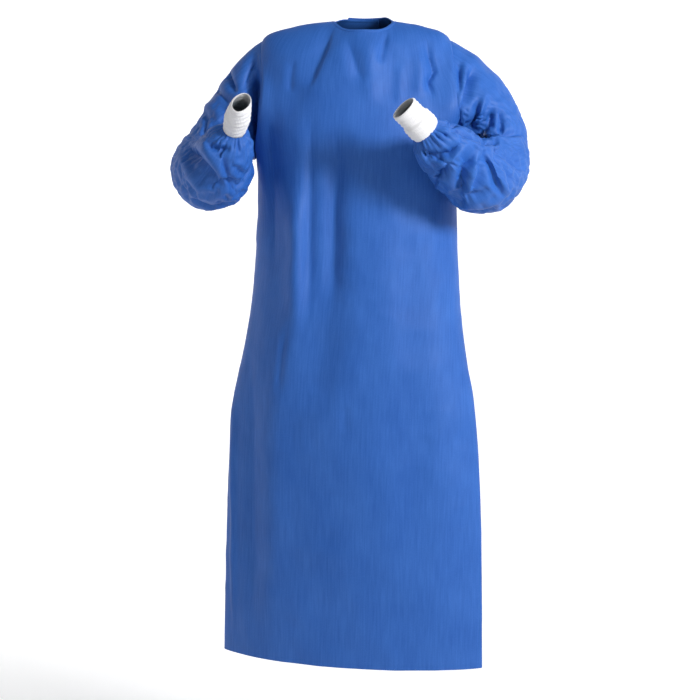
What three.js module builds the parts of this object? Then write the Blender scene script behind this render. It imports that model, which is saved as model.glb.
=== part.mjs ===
// Surgical gown, worn form with no wearer. Millimetres, +Z up, the front faces -Y.
// The wearer's left is +X. The origin is the middle of the neck opening, level with its sides.
import * as THREE from 'three';

// Driving dimensions
const CLOTH = 1.5;
const KNIT = 2.0;
const SEAM_GAP = 0.6;
const HEM_HEIGHT = -1227;
const OVERLAP = { lift: 5.4, half: 55, ramp: 70, clear: 3, past: 8, fall: 6 };
const OVERLAP_AT_NECK = { half: 28, halfStep: 12, ramp: 60, rampStep: 10 };
const BINDING = { width: 8, leg: 1.0, gap: 0.6 };
const TIE = { width: 26, thick: 1.5, height: -480, near: 13.6, far: 130, tail: 270, spread: 17 };
const KNOT = { width: 26, height: 30, thick: 7, across: -8 };
const TAB = { width: 50, height: 32, thick: 1.5, below: 16, rows: 3, columns: 6 };
const SEAT = 0.85;

// Where the shoulder seam ends, where the armhole ends, and the hem, as levels of the body table
const TIP_LEVEL = 2;
const PIT_LEVEL = 5;
const HEM_LEVEL = 12;
const BINDING_LEVEL = 0.18;
const ARMHOLE = { angle: 31, fullness: 0.8 };
const RISE_POWER = 4;

// How many steps each stretch of the grids takes
const STEPS = {
  shoulder: 3, armhole: 9, skirt: 12, front: 22, back: 12,
  cap: 7, arm: 12, tie: 8, tail: 9, knot: 3,
};

// How far apart the points lie that give a direction, in levels, degrees and sections
const PROBE = { level: 0.05, angle: 1, section: 0.2 };
const KEYS_PER_MM = 50;
const HEIGHT_HALVINGS = 40;

// Rings around the body: heights at the side seam, front and back, the side seams' x, how far the
// front and back stand out, the ring's middle y, its turn about Z, and its roundness
const BODY = [
  { side: 2, front: -23, back: 15, left: -65, right: 49,
    out: 66, behind: 65, mid: 0, turn: 0, round: 1.0 },
  { side: -9, front: -62, back: -28, left: -141, right: 109,
    out: 95, behind: 96, mid: 2, turn: 0, round: 0.95 },
  { side: -31, front: -107, back: -83, left: -198, right: 153,
    out: 108, behind: 110, mid: 4, turn: 0, round: 0.9 },
  { side: -92, front: -158, back: -140, left: -199, right: 158,
    out: 114, behind: 118, mid: 4, turn: 0, round: 0.85 },
  { side: -165, front: -208, back: -200, left: -205, right: 164,
    out: 117, behind: 119, mid: 2, turn: -1, round: 0.85 },
  { side: -250, front: -268, back: -264, left: -210, right: 167,
    out: 117, behind: 116, mid: 0, turn: -2, round: 0.88 },
  { side: -377, front: -377, back: -377, left: -212, right: 169,
    out: 114, behind: 111, mid: 0, turn: -3, round: 0.95 },
  { side: -531, front: -531, back: -531, left: -225, right: 176,
    out: 108, behind: 108, mid: 0, turn: -5, round: 1.05 },
  { side: -646, front: -646, back: -646, left: -246, right: 189,
    out: 102, behind: 112, mid: 1, turn: -8, round: 1.15 },
  { side: -723, front: -723, back: -723, left: -260, right: 202,
    out: 98, behind: 116, mid: 2, turn: -10, round: 1.22 },
  { side: -877, front: -877, back: -877, left: -275, right: 213,
    out: 90, behind: 117, mid: 4, turn: -12, round: 1.35 },
  { side: -1050, front: -1050, back: -1050, left: -282, right: 217,
    out: 81, behind: 113, mid: 6, turn: -14, round: 1.48 },
  { side: HEM_HEIGHT, front: HEM_HEIGHT, back: HEM_HEIGHT, left: -287, right: 218,
    out: 74, behind: 108, mid: 8, turn: -15.4, round: 1.6 },
];

// Soft folds of the front: place across (degrees), first and last level, half width, how far in
const FRONT_FOLDS = [
  { angle: -33, from: 0.2, to: 4.2, spread: 9, depth: 5 },
  { angle: -12, from: 3.5, to: 9.5, spread: 10, depth: 8 },
  { angle: -34, from: 4.5, to: 12, spread: 9, depth: -7 },
  { angle: 24, from: 0.2, to: 3.6, spread: 9, depth: 5 },
  { angle: 34, from: 5.5, to: 11, spread: 12, depth: 6 },
  { angle: -66, from: 5.5, to: 12.5, spread: 10, depth: 8 },
];
const FOLD_FADE = 1.2;

// Middles of the sleeve's sections from above the elbow to the wrist, and their radii
const SLEEVES = {
  right: {
    side: -1,
    outward: [-0.88, 0, 0.47],
    sections: [
      { x: -286, y: -14, z: -238, across: 60, deep: 62 },
      { x: -302, y: -38, z: -271, across: 67, deep: 66 },
      { x: -295, y: -82, z: -288, across: 69, deep: 66 },
      { x: -278, y: -125, z: -285, across: 64, deep: 62 },
      { x: -264, y: -168, z: -268, across: 52, deep: 53 },
      { x: -247, y: -202, z: -244, across: 44, deep: 44 },
      { x: -236, y: -226, z: -221, across: 20, deep: 20 },
    ],
    cuff: { x: 17, y: -49, z: 43 },
    cuffRings: [
      { at: 0.12, across: 20, deep: 20 },
      { at: 0.45, across: 22, deep: 22 },
      { at: 0.75, across: 19, deep: 24 },
      { at: 1, across: 15, deep: 26 },
    ],
    slope: 0.62,
  },
  left: {
    side: 1,
    outward: [0.9, 0, 0.43],
    sections: [
      { x: 240, y: -16, z: -234, across: 62, deep: 62 },
      { x: 237, y: -42, z: -268, across: 65, deep: 66 },
      { x: 218, y: -84, z: -290, across: 65, deep: 69 },
      { x: 193, y: -126, z: -289, across: 66, deep: 67 },
      { x: 160, y: -170, z: -268, across: 58, deep: 57 },
      { x: 126, y: -204, z: -244, across: 46, deep: 45 },
      { x: 100, y: -228, z: -220, across: 23, deep: 21 },
    ],
    cuff: { x: -38, y: -28, z: 34 },
    cuffRings: [
      { at: 0.1, across: 28, deep: 24 },
      { at: 0.42, across: 27, deep: 23 },
      { at: 0.5, across: 24, deep: 20 },
      { at: 1, across: 24, deep: 17 },
    ],
    slope: 0.36,
  },
};
const ELBOW_FOLD = { first: 8, last: 15, depth: 5, ridge: 0.4 };
const GATHER = { rows: 3, depth: 0.085 };

// The way the sleeve leaves the armhole: its share to the side, less over the face, and its drop
const LEAVE = { side: 0.95, face: 0.25, faceSide: 0.3, pitSlope: 0.3, pitDrop: 0.3 };

// Finishes seen in the photo
const BLUE = { color: 0x3a66b4, roughness: 0.72, metalness: 0 };
const LIGHT_BLUE = { color: 0x4b78c4, roughness: 0.72, metalness: 0 };
const WHITE = { color: 0xf1f1f4, roughness: 0.85, metalness: 0 };

const radians = (degrees) => degrees * Math.PI / 180;
const smooth = (t) => THREE.MathUtils.smoothstep(t, 0, 1);

/** One value of a table's column at a level between its rows, on a smooth curve through them. */
function along(table, column, level) {
  const last = table.length - 1;
  const row = Math.min(Math.floor(level), last - 1);
  const t = level - row;
  const at = (index) => table[THREE.MathUtils.clamp(index, 0, last)][column];
  const [a, b, c, d] = [at(row - 1), at(row), at(row + 1), at(row + 2)];
  const startSlope = row > 0 ? (c - a) / 2 : c - b;
  const endSlope = row < last - 1 ? (d - b) / 2 : c - b;
  const rise = c - b;
  const bend = 3 * rise - 2 * startSlope - endSlope;
  const twist = startSlope + endSlope - 2 * rise;
  return b + t * (startSlope + t * (bend + t * twist));
}

/** The angle from the middle of the front, or of the back, to the panel's edge at this level. */
function edgeAngle(level) {
  const t = (level - TIP_LEVEL) / (PIT_LEVEL - TIP_LEVEL);
  const cut = t > 0 && t < 1 ? Math.sin(Math.PI * t) ** ARMHOLE.fullness : 0;
  return 90 - ARMHOLE.angle * cut;
}

/** How far the front's soft folds push the cloth in at a level and angle. */
function foldDepth(level, angle) {
  let depth = 0;
  for (const fold of FRONT_FOLDS) {
    const across = (angle - fold.angle) / fold.spread;
    const ends = smooth((level - fold.from) / FOLD_FADE) * smooth((fold.to - level) / FOLD_FADE);
    depth += fold.depth * ends * Math.exp(-across * across);
  }
  return depth;
}

/** A point of the body's surface: the angle is 0 in front, 90 at the wearer's left side. */
function bodyPoint(level, angle) {
  const value = (column) => along(BODY, column, level);
  const sine = Math.sin(radians(angle));
  const cosine = Math.cos(radians(angle));
  const turn = radians(value('turn'));
  const width = (value('right') - value('left')) / Math.cos(turn);
  const half = width / 2 / Math.sin(radians(edgeAngle(level)));
  const reach = cosine > 0 ? -value('out') + foldDepth(level, angle) : value('behind');
  const x = half * sine;
  const y = reach * Math.abs(cosine) ** value('round');
  const rise = (cosine > 0 ? value('front') : value('back')) - value('side');
  return new THREE.Vector3(
    (value('left') + value('right')) / 2 + x * Math.cos(turn) - y * Math.sin(turn),
    value('mid') + x * Math.sin(turn) + y * Math.cos(turn),
    value('side') + rise * (1 - sine ** RISE_POWER),
  );
}

/** The surface's outward direction at a level and angle. */
function bodyNormal(level, angle) {
  const top = Math.max(level - PROBE.level, 0);
  const bottom = Math.min(level + PROBE.level, HEM_LEVEL);
  const down = bodyPoint(bottom, angle).sub(bodyPoint(top, angle));
  const around = bodyPoint(level, angle + PROBE.angle).sub(bodyPoint(level, angle - PROBE.angle));
  return around.cross(down).negate().normalize();
}

/** A point moved out from the body by a distance. */
function bodyPointOut(level, angle, distance) {
  return bodyPoint(level, angle).addScaledVector(bodyNormal(level, angle), distance);
}

/** The levels of the body's rows, with more rows where the armhole is. */
function bodyLevels() {
  const levels = [];
  const stretch = (from, to, steps) => {
    for (let step = 0; step < steps; step += 1) levels.push(from + (to - from) * step / steps);
  };
  levels.push(0);
  stretch(BINDING_LEVEL, TIP_LEVEL, STEPS.shoulder);
  stretch(TIP_LEVEL, PIT_LEVEL, STEPS.armhole);
  stretch(PIT_LEVEL, HEM_LEVEL, STEPS.skirt);
  levels.push(HEM_LEVEL);
  return levels;
}

const LEVELS = bodyLevels();

/** A grid of points, row by row. A closed grid's last column joins its first. */
class Panel {
  constructor(rows, closed = false) {
    this.rows = rows;
    this.closed = closed;
    this.height = rows.length;
    this.width = rows[0].length;
  }

  /** The four corners of each cell, as pairs of row and column. */
  cells() {
    const cells = [];
    const columns = this.closed ? this.width : this.width - 1;
    for (let row = 0; row < this.height - 1; row += 1) {
      for (let column = 0; column < columns; column += 1) {
        const next = (column + 1) % this.width;
        cells.push([[row, column], [row + 1, column], [row + 1, next], [row, next]]);
      }
    }
    return cells;
  }

  /** The point beside this one in the direction given, or null past the edge. */
  neighbour(row, column, down, across) {
    const nextRow = this.rows[row + down];
    if (!nextRow) return null;
    const wrapped = this.closed ? (column + across + this.width) % this.width : column + across;
    return nextRow[wrapped] ?? null;
  }
}

/** A point's name, so that panels find the places where they meet. */
const key = (point) => point.toArray().map((value) => Math.round(value * KEYS_PER_MM)).join(' ');

/** Outward directions at a panel's own points. */
function panelNormals(panel) {
  const normals = new Map();
  for (const cell of panel.cells()) {
    const [a, b, c, d] = cell.map(([row, column]) => panel.rows[row][column]);
    const normal = c.clone().sub(a).cross(d.clone().sub(b)).normalize();
    for (const corner of [a, b, c, d]) {
      const name = key(corner);
      if (!normals.has(name)) normals.set(name, new THREE.Vector3());
      normals.get(name).add(normal);
    }
  }
  for (const normal of normals.values()) normal.normalize();
  return normals;
}

/** Outward directions shared by the panels that meet at a point, each panel counting once. */
function sharedNormals(panels) {
  const shared = new Map();
  for (const panel of panels) {
    for (const [name, normal] of panelNormals(panel)) {
      if (!shared.has(name)) shared.set(name, new THREE.Vector3());
      shared.get(name).add(normal);
    }
  }
  for (const normal of shared.values()) normal.normalize();
  return shared;
}

/** The panel's points with its edges drawn back from the seams, square to each edge. */
function drawnBack(panel) {
  return panel.rows.map((points, row) => points.map((point, column) => {
    const moved = point.clone();
    for (const [down, across] of [[1, 0], [-1, 0], [0, 1], [0, -1]]) {
      if (panel.neighbour(row, column, -down, -across)) continue;
      const inner = panel.neighbour(row, column, down, across).clone().sub(point);
      const ahead = panel.neighbour(row, column, across, down) ?? point;
      const behind = panel.neighbour(row, column, -across, -down) ?? point;
      const edge = ahead.clone().sub(behind).normalize();
      moved.add(inner.addScaledVector(edge, -inner.dot(edge)).setLength(SEAM_GAP / 2));
    }
    return moved;
  }));
}

/** A closed cloth wall of even thickness around a panel. */
function wall(panel, thickness, normals) {
  const points = drawnBack(panel);
  const positions = [];
  for (const side of [1, -1]) {
    panel.rows.forEach((line, row) => line.forEach((point, column) => {
      const normal = normals.get(key(point));
      const moved = points[row][column].clone().addScaledVector(normal, side * thickness / 2);
      positions.push(moved.x, moved.y, moved.z);
    }));
  }
  const count = panel.height * panel.width;
  const index = (side, row, column) => side * count + row * panel.width + column;
  const faces = [];
  const quad = (a, b, c, d) => faces.push(a, b, c, a, c, d);
  for (const [[r0, c0], [r1, c1], [r2, c2], [r3, c3]] of panel.cells()) {
    quad(index(0, r0, c0), index(0, r1, c1), index(0, r2, c2), index(0, r3, c3));
    quad(index(1, r0, c0), index(1, r3, c3), index(1, r2, c2), index(1, r1, c1));
  }
  const rim = ([rowA, columnA], [rowB, columnB]) => {
    const outer = [index(0, rowA, columnA), index(0, rowB, columnB)];
    const inner = [index(1, rowA, columnA), index(1, rowB, columnB)];
    const first = key(panel.rows[rowA][columnA]) < key(panel.rows[rowB][columnB]);
    if (first) quad(outer[0], outer[1], inner[1], inner[0]);
    else quad(outer[1], inner[1], inner[0], outer[0]);
  };
  const columns = panel.closed ? panel.width : panel.width - 1;
  const lastRow = panel.height - 1;
  for (let column = 0; column < columns; column += 1) {
    const next = (column + 1) % panel.width;
    rim([0, column], [0, next]);
    rim([lastRow, next], [lastRow, column]);
  }
  if (!panel.closed) {
    const lastColumn = panel.width - 1;
    for (let row = 0; row < lastRow; row += 1) {
      rim([row + 1, 0], [row, 0]);
      rim([row, lastColumn], [row + 1, lastColumn]);
    }
  }
  return geometry(positions, faces);
}

/** A shape from its points and the triangles between them. */
function geometry(positions, faces) {
  const shape = new THREE.BufferGeometry();
  shape.setAttribute('position', new THREE.Float32BufferAttribute(positions, 3));
  shape.setIndex(faces);
  shape.computeVertexNormals();
  return shape;
}

/** The front panel, from the wearer's right edge to the left one. */
function frontPanel() {
  return new Panel(LEVELS.map((level) => {
    const line = [];
    for (let column = 0; column <= STEPS.front; column += 1) {
      line.push(bodyPoint(level, edgeAngle(level) * (2 * column / STEPS.front - 1)));
    }
    return line;
  }));
}

/** The angle past the middle of the back that is a given distance away at this level. */
function angleAtDistance(level, distance) {
  const half = (along(BODY, 'right', level) - along(BODY, 'left', level)) / 2;
  return Math.asin(THREE.MathUtils.clamp(distance / half, -1, 1)) * 180 / Math.PI;
}

/** How far the outer back panel is lifted where it passes over the inner one. */
function overlapLift(level, angle) {
  const start = 180 - angleAtDistance(level, overlapHalf(level) + overlapRamp(level));
  const full = 180 - angleAtDistance(level, overlapHalf(level) + OVERLAP.clear);
  return OVERLAP.lift * smooth((angle - start) / (full - start));
}

/** How far each back panel passes the middle at a level. */
function overlapHalf(level) {
  return Math.min(OVERLAP.half, OVERLAP_AT_NECK.half + OVERLAP_AT_NECK.halfStep * level);
}

/** How wide the outer back panel's rise over the inner one is at a level. */
function overlapRamp(level) {
  return Math.min(OVERLAP.ramp, OVERLAP_AT_NECK.ramp + OVERLAP_AT_NECK.rampStep * level);
}

/** A back panel from its side seam past the middle. side is 1 for the wearer's left, which is outside. */
function backPanel(side) {
  return new Panel(LEVELS.map((level) => {
    const line = [];
    const from = 180 - edgeAngle(level);
    const to = 180 + angleAtDistance(level, overlapHalf(level));
    for (let column = 0; column <= STEPS.back; column += 1) {
      const angle = from + (to - from) * column / STEPS.back;
      const lift = side > 0 ? overlapLift(level, angle) : 0;
      line.push(lift > 0 ? bodyPointOut(level, angle, lift) : bodyPoint(level, side * angle));
    }
    return side > 0 ? line : line.reverse();
  }));
}

/** The armhole's edge, from the shoulder down the front to the armpit and up the back. */
function armholeRing(side) {
  const levels = LEVELS.filter((level) => level >= TIP_LEVEL && level <= PIT_LEVEL);
  const front = levels.map((level) => bodyPoint(level, side * edgeAngle(level)));
  const back = levels.map((level) => bodyPoint(level, side * (180 - edgeAngle(level))));
  return [...front, ...back.slice(1, -1).reverse()];
}

/** A ring of the sleeve's section around its middle line. */
function sectionRing(sleeve, middle, direction, across, deep, count, lobes) {
  const outward = new THREE.Vector3(...sleeve.outward);
  outward.addScaledVector(direction, -outward.dot(direction)).normalize();
  const forward = outward.clone().cross(direction).multiplyScalar(-sleeve.side).normalize();
  const ring = [];
  for (let column = 0; column < count; column += 1) {
    const turn = 2 * Math.PI * column / count;
    const grow = 1 + lobes * (column % 2 === 0 ? 1 : -1);
    ring.push(middle.clone()
      .addScaledVector(outward, across * grow * Math.cos(turn))
      .addScaledVector(forward, deep * grow * Math.sin(turn)));
  }
  return ring;
}

/** The middle of a sleeve at a level of its sections. */
function middleOf(sections, level) {
  return new THREE.Vector3(...['x', 'y', 'z'].map((column) => along(sections, column, level)));
}

/** The sleeve's direction at a level of its sections, turning into the cuff's at the wrist. */
function sleeveDirection(sleeve, level) {
  const last = sleeve.sections.length - 1;
  const ahead = middleOf(sleeve.sections, Math.min(level + PROBE.section, last));
  const behind = middleOf(sleeve.sections, Math.max(level - PROBE.section, 0));
  const direction = ahead.sub(behind).normalize();
  const cuff = new THREE.Vector3(sleeve.cuff.x, sleeve.cuff.y, sleeve.cuff.z).normalize();
  return direction.lerp(cuff, smooth(level - last + 1)).normalize();
}

/** The way the sleeve leaves the armhole at a turn around it, from 0 at the shoulder's top. */
function leaveDirection(sleeve, turn) {
  const face = Math.sin(turn);
  const flat = Math.abs(face);
  const low = (1 - Math.cos(turn)) / 2;
  const slope = THREE.MathUtils.lerp(sleeve.slope, LEAVE.pitSlope, low);
  return new THREE.Vector3(
    sleeve.side * (LEAVE.side - LEAVE.faceSide * flat),
    -LEAVE.face * face,
    -slope - LEAVE.face * flat - LEAVE.pitDrop * low ** 3,
  ).normalize();
}

/** The sleeve's rings: the cap from the armhole to the first section, then down the arm. */
function sleevePanel(sleeve) {
  const start = armholeRing(sleeve.side);
  const count = start.length;
  const rings = [start];
  const last = sleeve.sections.length - 1;
  const ringAt = (level, lobes) => sectionRing(sleeve, middleOf(sleeve.sections, level),
    sleeveDirection(sleeve, level), along(sleeve.sections, 'across', level),
    along(sleeve.sections, 'deep', level), count, lobes);
  const end = ringAt(0, 0);
  const armDirection = sleeveDirection(sleeve, 0);
  for (let step = 1; step < STEPS.cap; step += 1) {
    const t = step / STEPS.cap;
    rings.push(start.map((point, column) => {
      const leave = leaveDirection(sleeve, 2 * Math.PI * column / count);
      const reach = end[column].distanceTo(point);
      return point.clone().multiplyScalar(2 * t ** 3 - 3 * t ** 2 + 1)
        .addScaledVector(leave, reach * (t ** 3 - 2 * t ** 2 + t))
        .addScaledVector(end[column], 3 * t ** 2 - 2 * t ** 3)
        .addScaledVector(armDirection, reach * (t ** 3 - t ** 2));
    }));
  }
  for (let step = 0; step <= STEPS.arm; step += 1) {
    const gather = smooth((step - STEPS.arm + GATHER.rows) / GATHER.rows);
    rings.push(ringAt(last * step / STEPS.arm, step < STEPS.arm ? GATHER.depth * gather : 0));
  }
  return foldedAtElbow(rings, sleeve);
}

/** Pushes every second ring in at the crook of the elbow. */
function foldedAtElbow(rings, sleeve) {
  const count = rings[0].length;
  for (let row = ELBOW_FOLD.first; row <= ELBOW_FOLD.last; row += 1) {
    const total = rings[row].reduce((sum, point) => sum.add(point), new THREE.Vector3());
    const middle = total.divideScalar(count);
    const depth = ELBOW_FOLD.depth * (row % 2 === 0 ? 1 : -ELBOW_FOLD.ridge);
    rings[row].forEach((point, column) => {
      const crook = Math.max(Math.sin(2 * Math.PI * column / count), 0) ** 2;
      point.add(middle.clone().sub(point).setLength(depth * crook));
    });
  }
  return new Panel(sleeve.side > 0 ? rings.map((ring) => ring.slice().reverse()) : rings, true);
}

/** The knit cuff, from the sleeve's last ring to its open end. */
function cuffPanel(sleeve, sleeveGrid) {
  const base = sleeveGrid.rows[sleeveGrid.height - 1];
  const axis = new THREE.Vector3(sleeve.cuff.x, sleeve.cuff.y, sleeve.cuff.z);
  const direction = axis.clone().normalize();
  const wrist = middleOf(sleeve.sections, sleeve.sections.length - 1);
  const rings = sleeve.cuffRings.map(({ at, across, deep }) => {
    const middle = wrist.clone().addScaledVector(axis, at);
    const ring = sectionRing(sleeve, middle, direction, across, deep, base.length, 0);
    return sleeve.side > 0 ? ring.reverse() : ring;
  });
  return new Panel([base, ...rings], true);
}

/** A folded strip over the neck's edge, from the inner back panel's end around to the outer one's. */
function neckBinding(stations) {
  const half = CLOTH / 2 + BINDING.gap;
  const outer = half + BINDING.leg;
  const profile = [
    [half, BINDING.width], [outer, BINDING.width], [outer, -BINDING.gap - BINDING.leg],
    [-outer, -BINDING.gap - BINDING.leg], [-outer, BINDING.width], [-half, BINDING.width],
    [-half, -BINDING.gap], [half, -BINDING.gap],
  ];
  const innerLeg = 3;
  const positions = [];
  for (const { point, normal, down } of stations) {
    for (const [out, drop] of profile) {
      const corner = point.clone().addScaledVector(normal, out).addScaledVector(down, drop);
      positions.push(corner.x, corner.y, corner.z);
    }
  }
  return sweepGeometry(positions, profile.length, stations.length, innerLeg);
}

/** Points around the neck's edge with the cloth's outward and downward directions. */
function neckStations(panels, normals) {
  const stations = [];
  for (const panel of panels) {
    panel.rows[0].forEach((point, column) => {
      if (column === 0 && stations.length > 0) return;
      const down = panel.rows[1][column].clone().sub(point).normalize();
      const normal = normals.get(key(point)).clone();
      normal.addScaledVector(down, -normal.dot(down)).normalize();
      stations.push({ point, normal, down });
    });
  }
  return stations;
}

/** A closed solid from equal profiles laid out one after another. The sides from turnedFrom on split
 *  along their other diagonal, so that they bend like the cloth beside them. */
function sweepGeometry(positions, size, count, turnedFrom = size) {
  const faces = [];
  const quad = (a, b, c, d) => faces.push(a, b, c, a, c, d);
  for (let station = 0; station < count - 1; station += 1) {
    for (let corner = 0; corner < size; corner += 1) {
      const next = (corner + 1) % size;
      const here = station * size;
      const there = here + size;
      const corners = [here + corner, here + next, there + next, there + corner];
      if (corner < turnedFrom || corner === size - 1) quad(...corners);
      else quad(...corners.slice(1), corners[0]);
    }
  }
  const ends = [0, (count - 1) * size];
  ends.forEach((start, end) => {
    for (const [a, b, c] of capTriangles(size)) {
      if (end === 0) faces.push(start + a, start + c, start + b);
      else faces.push(start + a, start + b, start + c);
    }
  });
  return geometry(positions, signedVolume(positions, faces) < 0 ? flipped(faces) : faces);
}

/** Triangles that close a four sided profile or the folded strip's eight sided one. */
function capTriangles(size) {
  if (size === 4) return [[0, 1, 2], [0, 2, 3]];
  return [[0, 1, 2], [0, 2, 7], [7, 2, 3], [7, 3, 6], [6, 3, 4], [6, 4, 5]];
}

/** The volume inside the faces, less than 0 where they are turned inside out. */
function signedVolume(positions, faces) {
  const point = (index) => new THREE.Vector3().fromArray(positions, index * 3);
  let volume = 0;
  for (let face = 0; face < faces.length; face += 3) {
    const [a, b, c] = [0, 1, 2].map((corner) => point(faces[face + corner]));
    volume += a.dot(b.cross(c)) / 6;
  }
  return volume;
}

/** The same faces turned the other way. */
function flipped(faces) {
  const turned = [];
  for (let face = 0; face < faces.length; face += 3) {
    turned.push(faces[face], faces[face + 2], faces[face + 1]);
  }
  return turned;
}

/** The level of the body's ring at a height. */
function levelAt(height) {
  let [low, high] = [0, HEM_LEVEL];
  for (let step = 0; step < HEIGHT_HALVINGS; step += 1) {
    const middle = (low + high) / 2;
    if (along(BODY, 'back', middle) > height) low = middle;
    else high = middle;
  }
  return low;
}

/** A place on the back: its level, and its angle from a distance across to the wearer's left. */
function backPlace(height, across) {
  const level = levelAt(height);
  return { level, angle: 180 - angleAtDistance(level, across) };
}

/** How far the cloth under a place on the back stands out, with a soft step down past its edge. */
function backLift({ level, angle }) {
  const edge = 180 + angleAtDistance(level, overlapHalf(level) + OVERLAP.past);
  if (angle < 180) return overlapLift(level, angle);
  return OVERLAP.lift * smooth(1 - (angle - edge) / OVERLAP.fall);
}

/** A flat strip that lies on the back along a route of places. */
function strip(places, width, thickness) {
  const base = CLOTH / 2 + SEAT;
  const points = places.map((place) => bodyPointOut(place.level, place.angle, backLift(place) + base));
  const positions = [];
  points.forEach((point, index) => {
    const ahead = points[Math.min(index + 1, points.length - 1)];
    const behind = points[Math.max(index - 1, 0)];
    const normal = bodyNormal(places[index].level, places[index].angle);
    const across = ahead.clone().sub(behind).cross(normal).normalize();
    for (const [side, out] of [[-1, 0], [1, 0], [1, 1], [-1, 1]]) {
      const corner = point.clone().addScaledVector(across, side * width / 2);
      corner.addScaledVector(normal, out * thickness);
      positions.push(corner.x, corner.y, corner.z);
    }
  });
  return sweepGeometry(positions, 4, points.length);
}

/** Evenly spaced places on the back between two pairs of height and distance across. */
function route([fromHeight, fromAcross], [toHeight, toAcross], steps) {
  const places = [];
  for (let step = 0; step <= steps; step += 1) {
    const t = step / steps;
    const height = THREE.MathUtils.lerp(fromHeight, toHeight, t);
    places.push(backPlace(height, THREE.MathUtils.lerp(fromAcross, toAcross, t)));
  }
  return places;
}

/** The patch that holds the touch tape, sewn on the outer back panel under the neck. */
function neckTab() {
  const rows = [];
  const out = OVERLAP.lift + CLOTH / 2 + SEAT + TAB.thick / 2;
  for (let row = 0; row <= TAB.rows; row += 1) {
    const height = BODY[0].back - TAB.below - TAB.height * row / TAB.rows;
    const line = [];
    for (let column = 0; column <= TAB.columns; column += 1) {
      const { level, angle } = backPlace(height, TAB.width * (0.5 - column / TAB.columns));
      line.push(bodyPointOut(level, angle, out));
    }
    rows.push(line);
  }
  return new Panel(rows);
}

/** A named solid with its finish. */
function mesh(name, shape, finish) {
  const made = new THREE.Mesh(shape, new THREE.MeshStandardMaterial(finish));
  made.name = name;
  return made;
}

const front = frontPanel();
const backLeft = backPanel(1);
const backRight = backPanel(-1);
const sleeveRight = sleevePanel(SLEEVES.right);
const sleeveLeft = sleevePanel(SLEEVES.left);
const cuffRight = cuffPanel(SLEEVES.right, sleeveRight);
const cuffLeft = cuffPanel(SLEEVES.left, sleeveLeft);
const panels = [front, backLeft, backRight, sleeveRight, sleeveLeft, cuffRight, cuffLeft];
const normals = sharedNormals(panels);

const gown = new THREE.Group();
gown.add(mesh('front_panel', wall(front, CLOTH, normals), BLUE));
gown.add(mesh('back_panel_left', wall(backLeft, CLOTH, normals), BLUE));
gown.add(mesh('back_panel_right', wall(backRight, CLOTH, normals), BLUE));
gown.add(mesh('sleeve_right', wall(sleeveRight, CLOTH, normals), BLUE));
gown.add(mesh('sleeve_left', wall(sleeveLeft, CLOTH, normals), BLUE));
gown.add(mesh('cuff_right', wall(cuffRight, KNIT, normals), WHITE));
gown.add(mesh('cuff_left', wall(cuffLeft, KNIT, normals), WHITE));
const neckEdge = neckStations([backRight, front, backLeft], normals);
gown.add(mesh('neck_binding', neckBinding(neckEdge), LIGHT_BLUE));
const tab = neckTab();
gown.add(mesh('neck_tab', wall(tab, TAB.thick, sharedNormals([tab])), LIGHT_BLUE));
for (const [name, side] of [['left', 1], ['right', -1]]) {
  const sewn = [TIE.height, KNOT.across + side * TIE.far];
  const tied = [TIE.height, KNOT.across + side * TIE.near];
  gown.add(mesh(`tie_${name}`, strip(route(sewn, tied, STEPS.tie), TIE.width, TIE.thick), BLUE));
  const start = [TIE.height - KNOT.height / 2 - SEAT, KNOT.across + side * TIE.near];
  const end = [start[0] - TIE.tail, KNOT.across + side * TIE.spread];
  gown.add(mesh(`tail_${name}`, strip(route(start, end, STEPS.tail), TIE.width, TIE.thick), BLUE));
}
const knotTop = [TIE.height + KNOT.height / 2, KNOT.across];
const knotBottom = [TIE.height - KNOT.height / 2, KNOT.across];
gown.add(mesh('tie_knot', strip(route(knotTop, knotBottom, STEPS.knot), KNOT.width, KNOT.thick), BLUE));

export default gown;
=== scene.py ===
"""A surgical gown in its worn form with no wearer: blue nonwoven cloth and white knit cuffs.

Metres, +Z up. The front faces -Y and the wearer's left is +X. The origin is the middle of the neck
opening. The tables hold millimetres, as a pattern cutter writes them.
"""

import logging
import math
from dataclasses import dataclass, field, fields
from enum import Enum

import bpy
import numpy as np
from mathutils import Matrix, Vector


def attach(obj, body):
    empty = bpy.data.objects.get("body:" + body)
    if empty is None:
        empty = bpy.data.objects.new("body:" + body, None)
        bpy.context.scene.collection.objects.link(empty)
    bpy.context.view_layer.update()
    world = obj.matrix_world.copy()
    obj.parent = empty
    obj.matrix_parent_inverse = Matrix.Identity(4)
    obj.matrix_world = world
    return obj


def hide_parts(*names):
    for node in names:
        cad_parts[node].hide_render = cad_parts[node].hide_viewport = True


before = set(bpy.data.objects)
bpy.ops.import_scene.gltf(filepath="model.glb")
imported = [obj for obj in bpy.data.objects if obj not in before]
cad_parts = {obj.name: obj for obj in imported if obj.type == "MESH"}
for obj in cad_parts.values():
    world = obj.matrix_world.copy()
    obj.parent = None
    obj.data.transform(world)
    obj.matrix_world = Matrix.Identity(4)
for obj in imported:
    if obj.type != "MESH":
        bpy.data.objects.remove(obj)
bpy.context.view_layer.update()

log = logging.getLogger("gown")
MM = 0.001
TIP_LEVEL, PIT_LEVEL, HEM_LEVEL = 2.0, 5.0, 12.0
CREASE_TAPER = 0.3
LAYER_EDGE = 0.02


class Side(Enum):
    """The wearer's side, with the sign of its X."""

    RIGHT = -1
    LEFT = 1


class Weave(Enum):
    """The kinds of cloth, by the name of their slot."""

    NONWOVEN = "blue_nonwoven"
    TRIM = "blue_trim"
    KNIT = "white_knit"


@dataclass(frozen=True)
class BodyRing:
    """One ring around the body: heights at side, front and back, the side seams' x, and its shape."""

    side: float
    front: float
    back: float
    left: float
    right: float
    out: float
    behind: float
    mid: float
    turn: float
    round: float


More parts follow.
